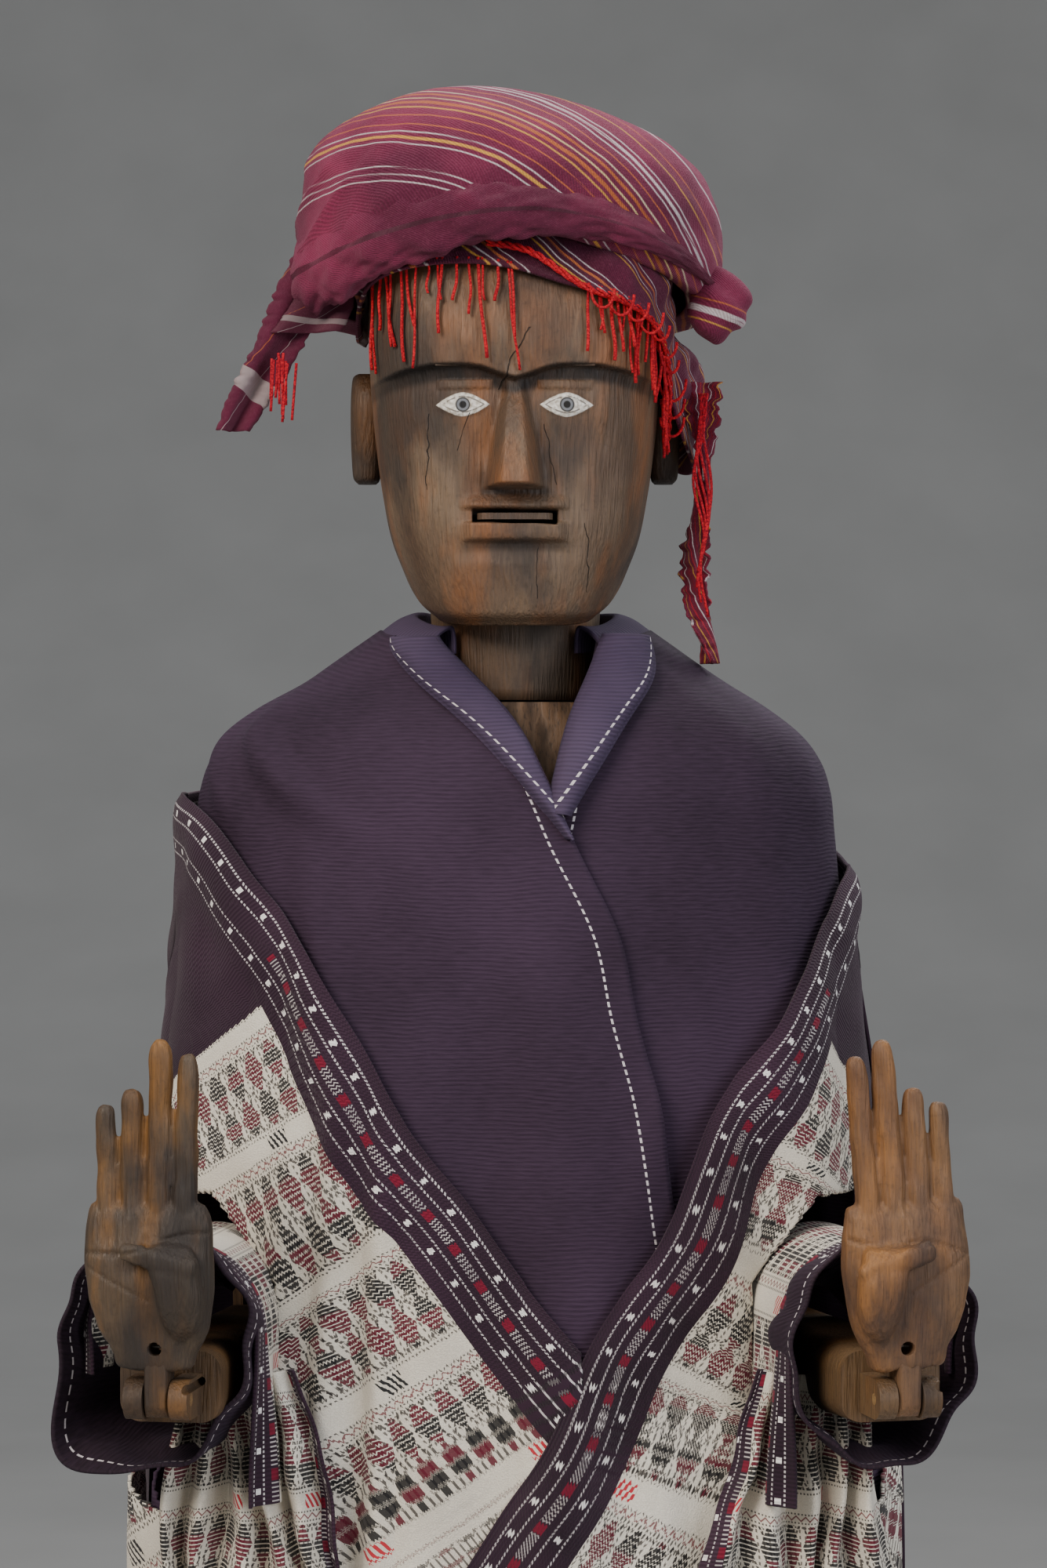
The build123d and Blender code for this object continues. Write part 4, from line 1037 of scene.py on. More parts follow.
@dataclass
class Turban:
    """Wound headcloth: a puffed dome, a plain roll, a striped under layer with fringe, tails and a knot."""

    head: Head
    top: float = 1375.0
    shift: float = -20.0
    half_x: float = 116.0
    half_y: float = 117.0
    squareness: float = 2.25
    stripe_axis: tuple[float, float] = (-78.0, 1177.0)
    hem: Curve = (
        (-180, 1245), (-135, 1249), (-90, 1253), (-60, 1260), (-30, 1280), (0, 1285), (28, 1276), (60, 1262),
        (90, 1252), (135, 1249), (180, 1245),
    )
    under_hem: Curve = (
        (-112, 1236), (-80, 1238), (-62, 1250), (-35, 1263), (0, 1262), (14, 1254), (30, 1247), (44, 1236),
        (58, 1216), (72, 1192), (86, 1172), (104, 1164), (125, 1180),
    )
    profile: Curve = (
        (0.0, 0.82, 0.02), (0.05, 0.91, -0.02), (0.13, 0.985, 0.06), (0.26, 1.01, 0.24), (0.42, 0.98, 0.45),
        (0.56, 0.905, 0.62), (0.69, 0.76, 0.76), (0.81, 0.52, 0.885), (0.92, 0.26, 0.965), (1.0, 0.02, 1.0),
    )
    thread_radius: float = 0.75

    def cloth_place(self, points: Array) -> Array:
        """Place on the cloth: along the stripes and across them."""
        x, y, z = points[..., 0] - self.stripe_axis[0], points[..., 1], points[..., 2] - self.stripe_axis[1]
        across = np.hypot(x, z)
        return np.stack([150 * np.arctan2(x, z) + y, across], axis=-1)

    def dome(self) -> bpy.types.Object:
        """Puffed upper turns."""
        turn = np.radians(np.linspace(-180, 180, 260, endpoint=False))[None]
        t = np.linspace(0, 1, 130)[:, None]
        reach, height = np.moveaxis(lookup(self.profile, np.broadcast_to(t, (130, 260))), -1, 0)
        hem = lookup(self.hem, np.degrees(turn))
        z = hem + height * (self.top - hem)
        r = oval(turn, self.half_x, self.half_y, self.squareness)
        r = r * reach
        fade = 1 - ease(0.7, 1.0, t)
        r += fade * 1.8 * ripple(110 * turn, 150 * t, 85, 11)
        slanted = z - hem - 60.5 * np.sin(turn)
        crease = np.sin(slanted / 11.0 + 1.4 * ripple(60 * turn, 60 * t, 90, 17))
        near_left = ease(0.25, 0.9, -np.sin(turn)) * (1 - ease(0.3, 0.62, t))
        r += 3.2 * near_left * (1 - np.abs(crease)) ** 1.5 * fade
        r += 0.5 * fade * ripple(110 * turn, 160 * t, 24, 19)
        slide = ease(0.3, 1, t) * self.shift
        x = r * np.sin(turn) + slide - 3
        y = -r * np.cos(turn) + 4 * ease(0.2, 1, t)
        points = spread_grid(x, y, z)
        piece = grid_mesh("turban_dome", points, cloth=self.cloth_place(points), wrap=True)
        thicken(piece, 2.0)
        gold, white = "d9a441", "ded5d4"
        stripes = (
            (132.0, 0.7, white), (135.5, 0.8, white), (139.5, 0.7, white), (153.5, 0.8, white),
            (157.0, 2.0, gold),
            (160.5, 0.8, white), (165.0, 0.7, "c4703a"), (171.0, 0.8, "c4703a"), (176.0, 1.1, gold),
            (179.5, 2.4, "b9692f"), (183.0, 1.0, "e6cf90"), (186.5, 1.7, "b9692f"), (189.5, 0.9, "e2d3b0"),
            (194.0, 0.6, "c4703a"), (198.0, 0.8, white), (201.0, 1.9, white), (204.0, 0.8, white),
            (211.0, 0.8, gold), (216.0, 0.8, "c4703a"), (224.0, 0.9, white),
        )
        dress(piece, StripedTwill("cotton_twill_wine_striped", stripes=stripes).make(),
              "head")
        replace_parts(piece, "turban_wrap", "turban_crown")
        return piece

    def roll(self) -> bpy.types.Object:
        """Plain fold that bulges over the forehead, thick at the right temple and thin at the left."""
        path = trace([(-117, -12, 1264, 20), (-104, -52, 1270, 22), (-70, -93, 1281, 20),
                      (-25, -113, 1290, 17),
                      (18, -114, 1292, 13), (60, -101, 1284, 9), (90, -72, 1272, 5), (106, -42, 1262, 2)],
                      150)
        angle = np.radians(np.linspace(0, 360, 44, endpoint=False))
        outward = path[:, :3] * [1, 1, 0]
        outward /= np.linalg.norm(outward, axis=1)[:, None]
        run = np.linspace(0, 400, 150)[:, None]
        wave = 1 + 0.10 * ripple(run, 34 * angle[None], 42, 23) + 0.05 * ripple(run, 34 * angle[None], 14, 24)
        high = path[:, 3:4] * wave
        deep = (0.42 * path[:, 3:4] + 1.5) * wave
        points = path[:, None, :3] + (deep * np.cos(angle))[..., None] * outward[:, None]
        points = points + (high * np.sin(angle))[..., None] * np.array([0, 0, 1.0])
        cloth = spread_grid(run, 34 * angle[None])
        piece = close_ends(grid_mesh("turban_roll", points, cloth=cloth, wrap=True))
        dress(piece, StripedTwill("cotton_twill_wine_plain", base="8a2f4f").make(), "head")
        return piece

    def under_layer(self) -> bpy.types.Object:
        """Striped layer next to the forehead, hanging lower over the left ear."""
        degrees = np.linspace(-112, 125, 260)[None]
        turn = np.radians(degrees)
        t = np.linspace(0, 1, 46)[:, None]
        low = lookup(self.under_hem, degrees)
        high = lookup(self.hem, degrees) + 12
        z = low + t * (high - low)
        r = self.head.radius(np.broadcast_to(turn, z.shape), np.minimum(z, 1290)) + 4.2
        ear_room = 17 * bump(degrees, 96, 34) * (1 - ease(1222, 1240, z))
        r = r + ear_room + 1.5 * ripple(100 * turn, 1.4 * z, 26, 31) * ease(0.0, 0.3, t)
        r += 1.6 * (1 - np.abs(np.sin((z - 0.5 * degrees) / 7.0))) * ease(0.1, 0.4, t)
        r = r + 1.8 * (1 - ease(0, 0.12, t))
        points = spread_grid(r * np.sin(turn), -r * np.cos(turn), z)
        run = 95 * turn
        cloth = spread_grid(run, (z - low) * 0.8 + 0.55 * run + 90)
        hem = np.broadcast_to(degrees + 112, z.shape)
        piece = grid_mesh("turban_under_layer", points, cloth=cloth, marks={"hem": hem})
        thicken(piece, 1.6, 1.0)
        stripes = tuple(
            (place_at, width, tint)
            for start in range(0, 300, 27)
            for place_at, width, tint in ((start + 2.0, 1.1, "d9a441"), (start + 5.0, 0.8, "ded5d4"),
                                          (start + 9.0, 1.8, "c4703a"), (start + 12.5, 0.7, "ded5d4"))
        )
        cloth_look = StripedTwill("cotton_twill_wine_fine_stripes", base="5d1b36", shade="3c1024",
                                  stripes=stripes,
                                  white_end=9.0)
        dress(piece, cloth_look.make(), "head")
        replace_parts(piece, "turban_band")
        return piece

    def hem_point(self, degrees: float, out: float, rise: float = 0.0) -> Array:
        """A point on the under layer's hem, so far out of the head."""
        turn = np.radians(degrees)
        z = float(lookup(self.under_hem, np.array(degrees)))
        r = float(self.head.radius(np.array(turn), np.array(z))) + out
        return np.array([r * np.sin(turn), -r * np.cos(turn), z + rise])

    def fringe(self) -> bpy.types.Object:
        """Red warp ends that hang over the forehead, and the twisted red edge."""
        draw = np.random.default_rng(41)
        threads = []
        spots = [(-50 + 50 * i / 17 + draw.uniform(-1.4, 1.4), draw.uniform(16, 58)) for i in range(18)]
        spots += [(21 + 46 * i / 25 + draw.uniform(-0.9, 0.9), draw.uniform(16, 44)) for i in range(26)]
        for i, (degrees, length) in enumerate(spots):
            start = self.hem_point(degrees, 5.5, 4)
            drop = np.linspace(0, 1, 16)
            lean = draw.uniform(-0.10, 0.12)
            swing = np.sin(drop * draw.uniform(3, 7) + draw.uniform(0, 6))
            x = start[0] + lean * length * drop + 1.1 * swing * drop
            z = start[2] - length * drop
            turn = np.arctan2(x, -start[1])
            r = self.head.radius(turn, z)
            y = -np.sqrt(np.maximum(r**2 - x**2, 0)) - 3.2
            y = np.minimum(y, start[1] + 3 * drop)
            path = np.stack([x, y, z], axis=1)
            path[0] = start
            width = self.thread_radius * np.linspace(1.0, 1.15, 16) * draw.uniform(0.8, 1.25)
            threads.append(tube(f"thread_{i}", path, width))
        edge = np.array([self.hem_point(d, 7.0, 12 - 12 * ease(2, 24, np.array(float(d))))
                         for d in np.linspace(-8, 84, 160)])
        for strand in range(3):
            twist = np.linspace(0, 60, 160) + strand * 2.09
            wind = np.stack([0.6 * np.cos(twist), np.cos(twist), np.sin(twist)], axis=1) * 1.3
            threads.append(tube(f"edge_{strand}", edge + wind, 0.95))
        for i in range(10):
            start = self.hem_point(24 + 5.5 * i, 8.5, 2)
            loop = np.linspace(0, math.pi, 14)
            size = draw.uniform(5, 10)
            path = start + np.stack([size * np.cos(loop) * 0.8, -1.0 - 0 * loop,
                                     -size * np.sin(loop) * 1.3], axis=1)
            threads.append(tube(f"loop_{i}", path, 0.8))
        piece = join("turban_fringe", threads)
        dress(piece, Yarn("cotton_yarn_red", "d3232b", "8f1220").make(), "head")
        return piece

    def ribbon(self, name: str, path: list[tuple[float, ...]], twist: float, rough: float,
               seed: int, count: int = 90) -> tuple[bpy.types.Object, Array]:
        """Folded strip of cloth along a path of (x, y, z, half width).

        Args:
            name: Piece name.
            path: Its middle line and half widths.
            twist: Turns along its length.
            rough: Raggedness of its edges.
            seed: Seed of its folds.
            count: Steps along it.

        Returns:
            The piece and its points.
        """
        line = trace(path, count)
        side = np.linspace(-1, 1, 22)
        run = np.linspace(0, 1, count)
        angle = 2 * math.pi * twist * run
        direction = np.stack([np.cos(angle), np.sin(angle), 0 * angle], axis=1)
        normal = np.stack([-np.sin(angle), np.cos(angle), 0 * angle], axis=1)
        ragged = 1 + rough * ripple(run[:, None] * 200, side[None] * 3, 9, seed)
        width = line[:, 3:4] * ragged * side[None]
        fold = 3.4 * np.sin(side[None] * 4.2 + 1.5 * run[:, None]) * (0.6 + 0.5 * run[:, None])
        points = line[:, None, :3] + width[..., None] * direction[:, None] + fold[..., None] * normal[:, None]
        length = 200 * run[:, None] + 0 * side
        cloth = np.stack([length, 30 * side[None] + 0.35 * length], axis=-1)
        end = (1 - run[:, None]) * 120 + 8 * side[None]
        piece = grid_mesh(name, points, cloth=cloth, marks={"hem": end})
        thicken(piece, 1.4, 0.0)
        return piece, points

    def tails(self) -> None:
        """Right tail with its off-white band, left hanging rag, knot and loose ends."""
        gold, white = "d9a441", "ded5d4"
        tail_look = StripedTwill("cotton_twill_wine_tail", base="7a2845", white_end=30.0,
                                 stripes=((-20.0, 1.0, gold), (18.0, 1.2, "c4703a"), (47.0, 0.9, white)))
        piece, points = self.ribbon("turban_tail_right_cloth", [
            (-104, -38, 1280, 15), (-116, -36, 1256, 15), (-128, -34, 1230, 13), (-142, -31, 1206, 12),
            (-154, -28, 1184, 9)], 0.05, 0.05, 51)
        dress(piece, tail_look.make(), "head")
        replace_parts(piece, "turban_tail_right")
        second, second_points = self.ribbon("turban_tail_under_cloth", [
            (-100, -46, 1262, 14), (-105, -44, 1248, 18), (-112, -42, 1236, 20)], -0.04, 0.02, 53, 50)
        dress(second, tail_look.make(), "head")
        stripes = tuple((float(at), 1.6, tint) for at, tint in
                        zip(range(-30, 100, 6), (white, "c22a35", gold, "8f1220") * 6))
        rag_look = StripedTwill("cotton_rag_wine_red_white", base="7d2038", shade="5a1428", stripes=stripes)
        rag, rag_points = self.ribbon("turban_rag_left", [
            (101, -12, 1212, 12), (103, -12, 1180, 9), (102, -12, 1150, 6.5), (98, -11, 1122, 7.5),
            (100, -10, 1098, 7), (104, -10, 1078, 12), (108, -10, 1058, 9)], 0.8, 0.2, 55, 130)
        dress(rag, rag_look.make(), "head")
        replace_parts(rag, "turban_tail_left")
        knot = blob("turban_knot_cloth", [
            (1231, 108, -34, 1, 1), (1236, 108, -34, 10, 9), (1244, 110, -34, 15, 13),
            (1254, 111, -33, 17, 15),
            (1264, 108, -32, 14, 13), (1272, 102, -31, 8, 8), (1275, 100, -31, 1, 1)], 48, 2.2)
        self.pleat(knot)
        knot_look = StripedTwill("cotton_twill_wine_knot", base="7a2845",
                                 stripes=((1246.0, 4.5, white), (1252.0, 1.0, "c4703a"), (1240.0, 1.0, gold)))
        layer = knot.data.uv_layers.new(name="cloth")
        for loop in knot.data.loops:
            x, y, z = knot.data.vertices[loop.vertex_index].co / MM
            layer.data[loop.index].uv = (x + y, z + 0.35 * (x - 108))
        dress(knot, knot_look.make(), "head")
        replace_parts(knot, "turban_knot")
        draw = np.random.default_rng(43)
        threads = []
        for i in range(9):
            start = np.array([-126 + draw.uniform(-6, 8), -44, 1222 + draw.uniform(-3, 3)])
            drop = np.linspace(0, 1, 10)[:, None]
            path = start + drop * [draw.uniform(-3, 1), 2, -draw.uniform(20, 34)]
            threads.append(tube(f"tail_thread_{i}", path, 0.8))
        for i in range(5):
            drop = np.linspace(0, 1, 26)
            x = 100 + 3 * np.sin(drop * 9 + i) + i
            path = np.stack([x, -22 + 0 * drop, 1205 - (90 + 8 * i) * drop], axis=1)
            threads.append(tube(f"rag_thread_{i}", path, 0.8))
        ends = join("turban_tail_threads", threads)
        dress(ends, Yarn("cotton_yarn_red_ends", "c8202c", "7e1020").make(), "head")

    def pleat(self, piece: bpy.types.Object) -> None:
        """Press small folds into a lump of cloth."""
        co = points_of(piece)
        middle = co.mean(0)
        away = co - middle
        away /= np.linalg.norm(away, axis=1)[:, None] + 1e-6
        fold = np.sin((co[:, 2] + 0.9 * co[:, 0]) / 3.2) * 1.3
        co += away * fold[:, None]
        move_points(piece, co)

    def make(self) -> None:
        """Build every part of the turban."""
        for part in (self.dome, self.roll, self.under_layer, self.fringe):
            LOG.info("made %s", part().name)
        self.tails()


# ------------------------------------------------------------ clothes


@dataclass
class Robe:
    """Ribbed cotton robe crossed in front, its collar turned back, with a dashed line inside each edge."""

    hem: float = 500.0
    back_squareness: float = 2.7
    elbow_y: float = 20.0
    elbow_z: float = 687.0
    arm_inner: float = 124.0
    arm_above: float = 88.0
    arm_below: float = 46.0
    arm_swing: float = 0.5
    neck_dip: float = 6.5
    body_rows: Curve = (
        (500, 199, 135), (600, 199, 134), (700, 196.5, 131.5), (800, 189.5, 125), (900, 180, 115),
        (965, 175.5, 109),
        (989, 173, 106), (1004, 168, 102), (1018, 158, 97), (1034, 138, 90), (1049, 114, 81), (1060, 98, 75),
        (1070, 84, 71), (1077, 74, 68),
    )
    roll_rows: Curve = (
        (0.0, 1072, 52.5), (0.4, 1081, 53.0), (0.75, 1085.5, 56.0), (1.0, 1083, 62.5), (1.3, 1074, 71.5),
    )
    right_edge: Curve = (
        (500, 104), (700, 93), (787, 79.5), (828, 73.3), (869, 63), (910, 54.8), (961, 31), (992, 17.9),
        (1033, -4.5), (1060, -26), (1076, -39.7), (1090, -44),
    )
    left_edge: Curve = (
        (500, -40), (700, -38), (900, -10), (960, 14), (992, 21), (1033, 31.5), (1060, 41), (1078, 47),
        (1090, 50),
    )

    # Each fold's angle round the body in degrees, slope, half width and height.
    shoulder_folds: Curve = ((-66, 0.55, 10, 5.0), (-88, 0.5, 9, 3.4), (62, -0.5, 11, 4.6),
                             (84, -0.5, 8, 3.2))
    chest_folds: Curve = ((-34, 0.16, 7, 2.4), (33, -0.22, 6, 2.2), (44, -0.12, 9, 3.0), (-52, 0.08, 10, 2.6))

    def half(self, z: Array) -> tuple[Array, Array]:
        """Half width and half depth of the robe at a height."""
        both = lookup(self.body_rows, z)
        return both[..., 0], both[..., 1]

    def point(self, turn: Array, z: Array, out: Array | float = 0.0) -> Array:
        """Point of the robe's plain surface, so far out."""
        a, b = self.half(z)
        a, b = a + out, b + out
        power = np.where(np.cos(turn) < 0, 2 / self.back_squareness, 1.0)
        x = a * np.sign(np.sin(turn)) * np.abs(np.sin(turn)) ** power
        y = -b * np.sign(np.cos(turn)) * np.abs(np.cos(turn)) ** power
        return spread_grid(x, y, z)

    def folds(self, turn: Array, z: Array) -> Array:
        """Depth of the soft folds, none at the shoulders and most at the hem."""
        fall = 1 - ease(760, 985, z)
        deep = 4.5 * np.sin(9 * turn + 1.2 * np.sin(z / 170) + 0.6) * fall
        deep += 3.0 * bump(np.degrees(turn), 52, 16) * (1 - ease(900, 1000, z)) * 2
        deep += 1.6 * ripple(150 * turn, 0.16 * z, 60, 61) * (0.35 + 0.65 * fall)
        for middle, slope, wide, high in self.shoulder_folds:
            ridge = bump(np.degrees(turn), middle + slope * (1030 - z), wide)
            deep += 1.3 * high * ridge * bump(z, 1012, 62)
        for middle, slope, wide, high in self.chest_folds:
            ridge = bump(np.degrees(turn), middle + slope * (900 - z) / 2, wide)
            deep += 1.5 * high * ridge * bump(z, 860, 170)
        return deep

    def clear_of_arms(self, points: Array) -> Array:
        """Mask of the faces outside the openings that the forearms swing in."""
        middle = 0.25 * (points[1:, 1:] + points[:-1, 1:] + points[1:, :-1] + points[:-1, :-1])
        x, y, z = np.moveaxis(middle, -1, 0)
        low = self.elbow_z - self.arm_below - self.arm_swing * (self.elbow_y - y)
        high = self.elbow_z + self.arm_above - 1.2 * np.maximum(160 - np.abs(x), 0)
        opening = (np.abs(x) > self.arm_inner) & (y < 36) & (z > low) & (z < high)
        return ~opening

    def sheet_points(self) -> tuple[Array, Array]:
        """Grid of the body of the robe from its collar's fold to the hem, and its cloth places."""
        z = np.concatenate([np.linspace(1077, 985, 46)[:-1], np.linspace(985, self.hem, 120)])[:, None]
        a, _ = self.half(z)
        first = np.arcsin(np.clip(lookup(self.right_edge, z) / a, -0.95, 0.95))
        last = np.arcsin(np.clip(lookup(self.left_edge, z) / a, -0.95, 0.95)) - 2 * math.pi
        s = np.linspace(0, 1, 380)[None]
        turn = first + s * (last - first)
        lap = 3.6 * (1 - ease(0.0, 0.16, s)) - 2.6 * ease(0.84, 1.0, s)
        front = ease(-0.1, 0.85, np.cos(turn))
        out = lap + self.folds(turn, z)
        points = self.point(turn, z, out)
        points[..., 2] -= self.neck_dip * front * ease(1010, 1070, z)
        step = np.linalg.norm(np.diff(points, axis=1), axis=2)
        run = np.concatenate([np.zeros((len(points), 1)), np.cumsum(step, axis=1)], axis=1)
        back_run = run[:, -1:] - run
        cloth = np.stack([np.minimum(run, back_run), np.broadcast_to(z, run.shape)], axis=-1)
        return points, cloth

    def lapel(self, side: Side) -> tuple[Array, Array]:
        """Turned-back collar along one front edge, and its cloth places."""
        rows = self.right_edge if side is Side.RIGHT else self.left_edge
        z = np.linspace(1077, 962 if side is Side.RIGHT else 975, 110)[:, None]
        w = np.linspace(0, 1, 26)[None]
        a, b = self.half(np.minimum(z, 1077))
        edge = lookup(rows, z)
        start = np.arcsin(np.clip(edge / a, -0.95, 0.95))
        wide = lookup([(962, 5), (992, 17), (1033, 32), (1060, 38), (1083, 36)], z)
        turn = start + side.value * w * wide / np.hypot(a * np.cos(start), b * np.sin(start))
        out = 3.5 + 6.5 * np.sin(math.pi * np.minimum(w * 1.1, 1)) ** 0.6 - 3.0 * (w > 0.97)
        out = out - 3 * (1 - ease(0, 0.12, w)) + 0.8 * ripple(z, 30 * w, 40, 71 + side.value)
        points = self.point(turn, np.minimum(z, 1077), out)
        points[..., 2] = z + 1.0 - self.neck_dip * ease(1010, 1070, z)
        cloth = spread_grid((1 - w) * wide, z)
        return points, cloth

    def collar(self) -> tuple[Array, Array]:
        """Standing fold of the collar round the neck, and its cloth places."""
        degrees = np.linspace(38, 322, 150)[None]
        turn = np.radians(degrees)
        t = np.linspace(0, 1.3, 26)[:, None]
        height, reach = np.moveaxis(lookup(self.roll_rows, np.broadcast_to(t, (26, 150))), -1, 0)
        front = ease(-0.2, 0.8, np.cos(turn))
        z = height - 9 * front + 0.8 * ripple(60 * turn, 20 * t, 30, 75)
        reach = reach + 12 * np.maximum(t - 0.9, 0)
        points = spread_grid(reach * np.sin(turn), -reach * np.cos(turn), z)
        cloth = spread_grid(30 + 20 * t, 60 * turn)
        return points, cloth

    def make(self) -> None:
        """Build the robe, its collar and its lapels."""
        plain = RibbedCotton("handspun_cotton_aubergine_ribbed", "3f2f40", "281c28", dash_at=14.0).make()
        # Painted light: the collar and lapels use a lighter copy of the robe's cloth, as if lit.
        light = RibbedCotton("handspun_cotton_aubergine_lapel", "56495f", "3b3045", dash_at=9.0).make()
        points, cloth = self.sheet_points()
        piece = grid_mesh("robe_cloth", points, cloth=cloth, keep=self.clear_of_arms(points))
        thicken(piece, 2.0)
        dress(piece, plain, "stand")
        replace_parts(piece, "robe_body")
        points, cloth = self.collar()
        piece = grid_mesh("robe_collar_fold", points, cloth=cloth)
        thicken(piece, 2.0, 0.0)
        dress(piece, light, "stand")
        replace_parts(piece, "robe_collar")
        for side in Side:
            points, cloth = self.lapel(side)
            piece = grid_mesh(f"robe_lapel_{side.label}", points, cloth=cloth)
            thicken(piece, 2.0)
            dress(piece, light, "stand")
            LOG.info("made lapel %s", side.label)


@dataclass
class Shawl:
    """Long handwoven shawl round the arms and the back, its two ends crossed low in front."""

    robe: Robe
    hem: float = 432.0
    left_top: float = 947.0
    right_top: float = 986.0
    half_width: float = 183.0
    side_turn: float = 1.6
    right_edge: Curve = (
        (-260, 992), (-190, 990), (-168.6, 977.7), (-133.7, 938.8), (-105, 904), (-76.4, 856.8),
        (-45.7, 803.6),
        (-23.1, 775), (9.6, 725.8), (30, 697),
    )
    left_edge: Curve = (
        (-110, 425), (-25.2, 582), (-6.8, 615), (13.7, 652), (30, 697), (46.5, 725.8), (71, 762.6),
        (91.5, 811.8),
        (116, 848.6), (140.7, 885.5), (167.3, 922.4), (186, 952), (260, 975),
    )

    def arc(self, turn: Array) -> Array:
        """Length round the body from the middle of the front."""
        fine = np.linspace(-math.pi, math.pi, 721)
        step = np.hypot(186 * np.cos(fine), 121 * np.sin(fine)) * (fine[1] - fine[0])
        total = np.cumsum(step)
        return np.interp(turn, fine, total - total[360])

    def front(self, side: Side) -> tuple[Array, Array, Array]:
        """Front end of the shawl on one side: its points, cloth places and the faces to keep."""
        edge = self.right_edge if side is Side.RIGHT else self.left_edge
        inner = 30.0 if side is Side.RIGHT else -108.0
        turn = np.linspace(side.value * 1.62, math.asin(inner / 190), 300)[None]
        x_at = self.half_width * np.sin(turn)
        x_at = np.where(np.abs(turn) > math.pi / 2, np.sign(turn) * (2 * self.half_width - np.abs(x_at)),
                        x_at)
        top = lookup(edge, x_at)
        t = np.linspace(0, 1, 260)[:, None] ** 1.1
        z = top + t * (self.hem - top)
        run, along_edge = self.nearest(self.arc(turn), z, self.arc(turn), top, side)
        fall = 1 - ease(620, 900, z)
        out = 6.0 + 3.4 * bump(run, 16, 26) + 2.0 * ease(0, 7, run)
        if side is Side.LEFT:
            out = out + 4.5 * (1 - ease(60, 120, x_at)) * ease(-140, 20, x_at)
            out = out + 10 * bump(x_at, 104, 22) * fall + 5 * bump(x_at, 62, 17) * fall
        else:
            out = out + 9 * bump(x_at, -108, 12) * fall + 8 * bump(x_at, -84, 10) * fall
            out = out + 7 * bump(x_at, -62, 9) * fall
        out = out + 3.6 * np.sin(17 * turn + 0.5 * np.sin(z / 60)) * fall + 0.7 * ripple(run, along_edge,
                                                                                         45, 81)
        out = out + np.maximum(self.robe.folds(turn, z), 0)
        points = self.robe.point(turn, z, out)
        cloth = np.stack([along_edge, run], axis=-1)
        return points, cloth, self.robe.clear_of_arms(points)

    def nearest(self, arc: Array, z: Array, edge_arc: Array, edge_z: Array,
                side: Side) -> tuple[Array, Array]:
        """Distance to the shawl's edge and place along it, for every point.

        Args:
            arc: Length round the body of the columns.
            z: Heights of all points.
            edge_arc: Length round the body of the edge's points.
            edge_z: Heights of the edge's points.
            side: Which end of the shawl.

        Returns:
            Distance from the edge, and length along the edge from where the cream end starts.
        """
        ex, ez = edge_arc[0], edge_z[0]
        onward = np.linspace(0, 1, 60)[1:] * 420
        slope = (ez[-1] - ez[-6]) / (ex[-1] - ex[-6])
        step = -side.value * onward / math.hypot(1, slope)
        ex, ez = np.concatenate([ex, ex[-1] + step]), np.concatenate([ez, ez[-1] + slope * step])
        length = np.concatenate([[0], np.cumsum(np.hypot(np.diff(ex), np.diff(ez)))])
        flat_x = np.broadcast_to(arc, z.shape).reshape(-1)
        flat_z = z.reshape(-1)
        best = np.full(len(flat_x), 1e9)
        at = np.zeros(len(flat_x))
        for i in range(len(ex)):
            gap = np.hypot(flat_x - ex[i], flat_z - ez[i])
            nearer = gap < best
            best[nearer] = gap[nearer]
            at[nearer] = length[i]
        start = 178.0 if side is Side.RIGHT else 128.0
        return best.reshape(z.shape), (at - start).reshape(z.shape)

    def back(self) -> tuple[Array, Array]:
        """Back of the shawl: its points and cloth places."""
        turn = np.linspace(self.side_turn, 2 * math.pi - self.side_turn, 230)[None]
        part = (turn - self.side_turn) / (2 * math.pi - 2 * self.side_turn)
        z_top = self.left_top + (self.right_top - self.left_top) * part + 20 * np.sin(part * math.pi)
        t = np.linspace(0, 1, 150)[:, None]
        z = z_top + t * (self.hem - z_top)
        fall = 1 - ease(700, 950, z)
        own = 3.2 * (1 + np.sin(13 * turn + 0.7 * np.sin(z / 90))) * fall + 1.2 * ripple(150 * turn,
                                                                                         0.15 * z, 70, 85)
        out = 6.5 + own + self.robe.folds(turn, z)
        out = out + 3.0 * bump(z_top - z, 18, 26)
        points = self.robe.point(turn, z, out)
        cloth = spread_grid(-200 - 150 * turn, z_top - z)
        return points, cloth

    def make(self) -> None:
        """Build the shawl's back and its two ends."""
        weave = ShawlWeave("handwoven_cotton_supplementary_weft").make()
        points, cloth = self.back()
        piece = grid_mesh("shawl_back_cloth", points, cloth=cloth)
        thicken(piece, 2.0)
        dress(piece, weave, "stand")
        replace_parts(piece, "shawl_back")
        for side in Side:
            points, cloth, keep = self.front(side)
            piece = grid_mesh(f"shawl_front_{side.label}", points, cloth=cloth, keep=keep)
            thicken(piece, 2.0)
            dress(piece, weave, "stand")
            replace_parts(piece, f"shawl_{side.label}")
            LOG.info("made shawl front %s", side.label)


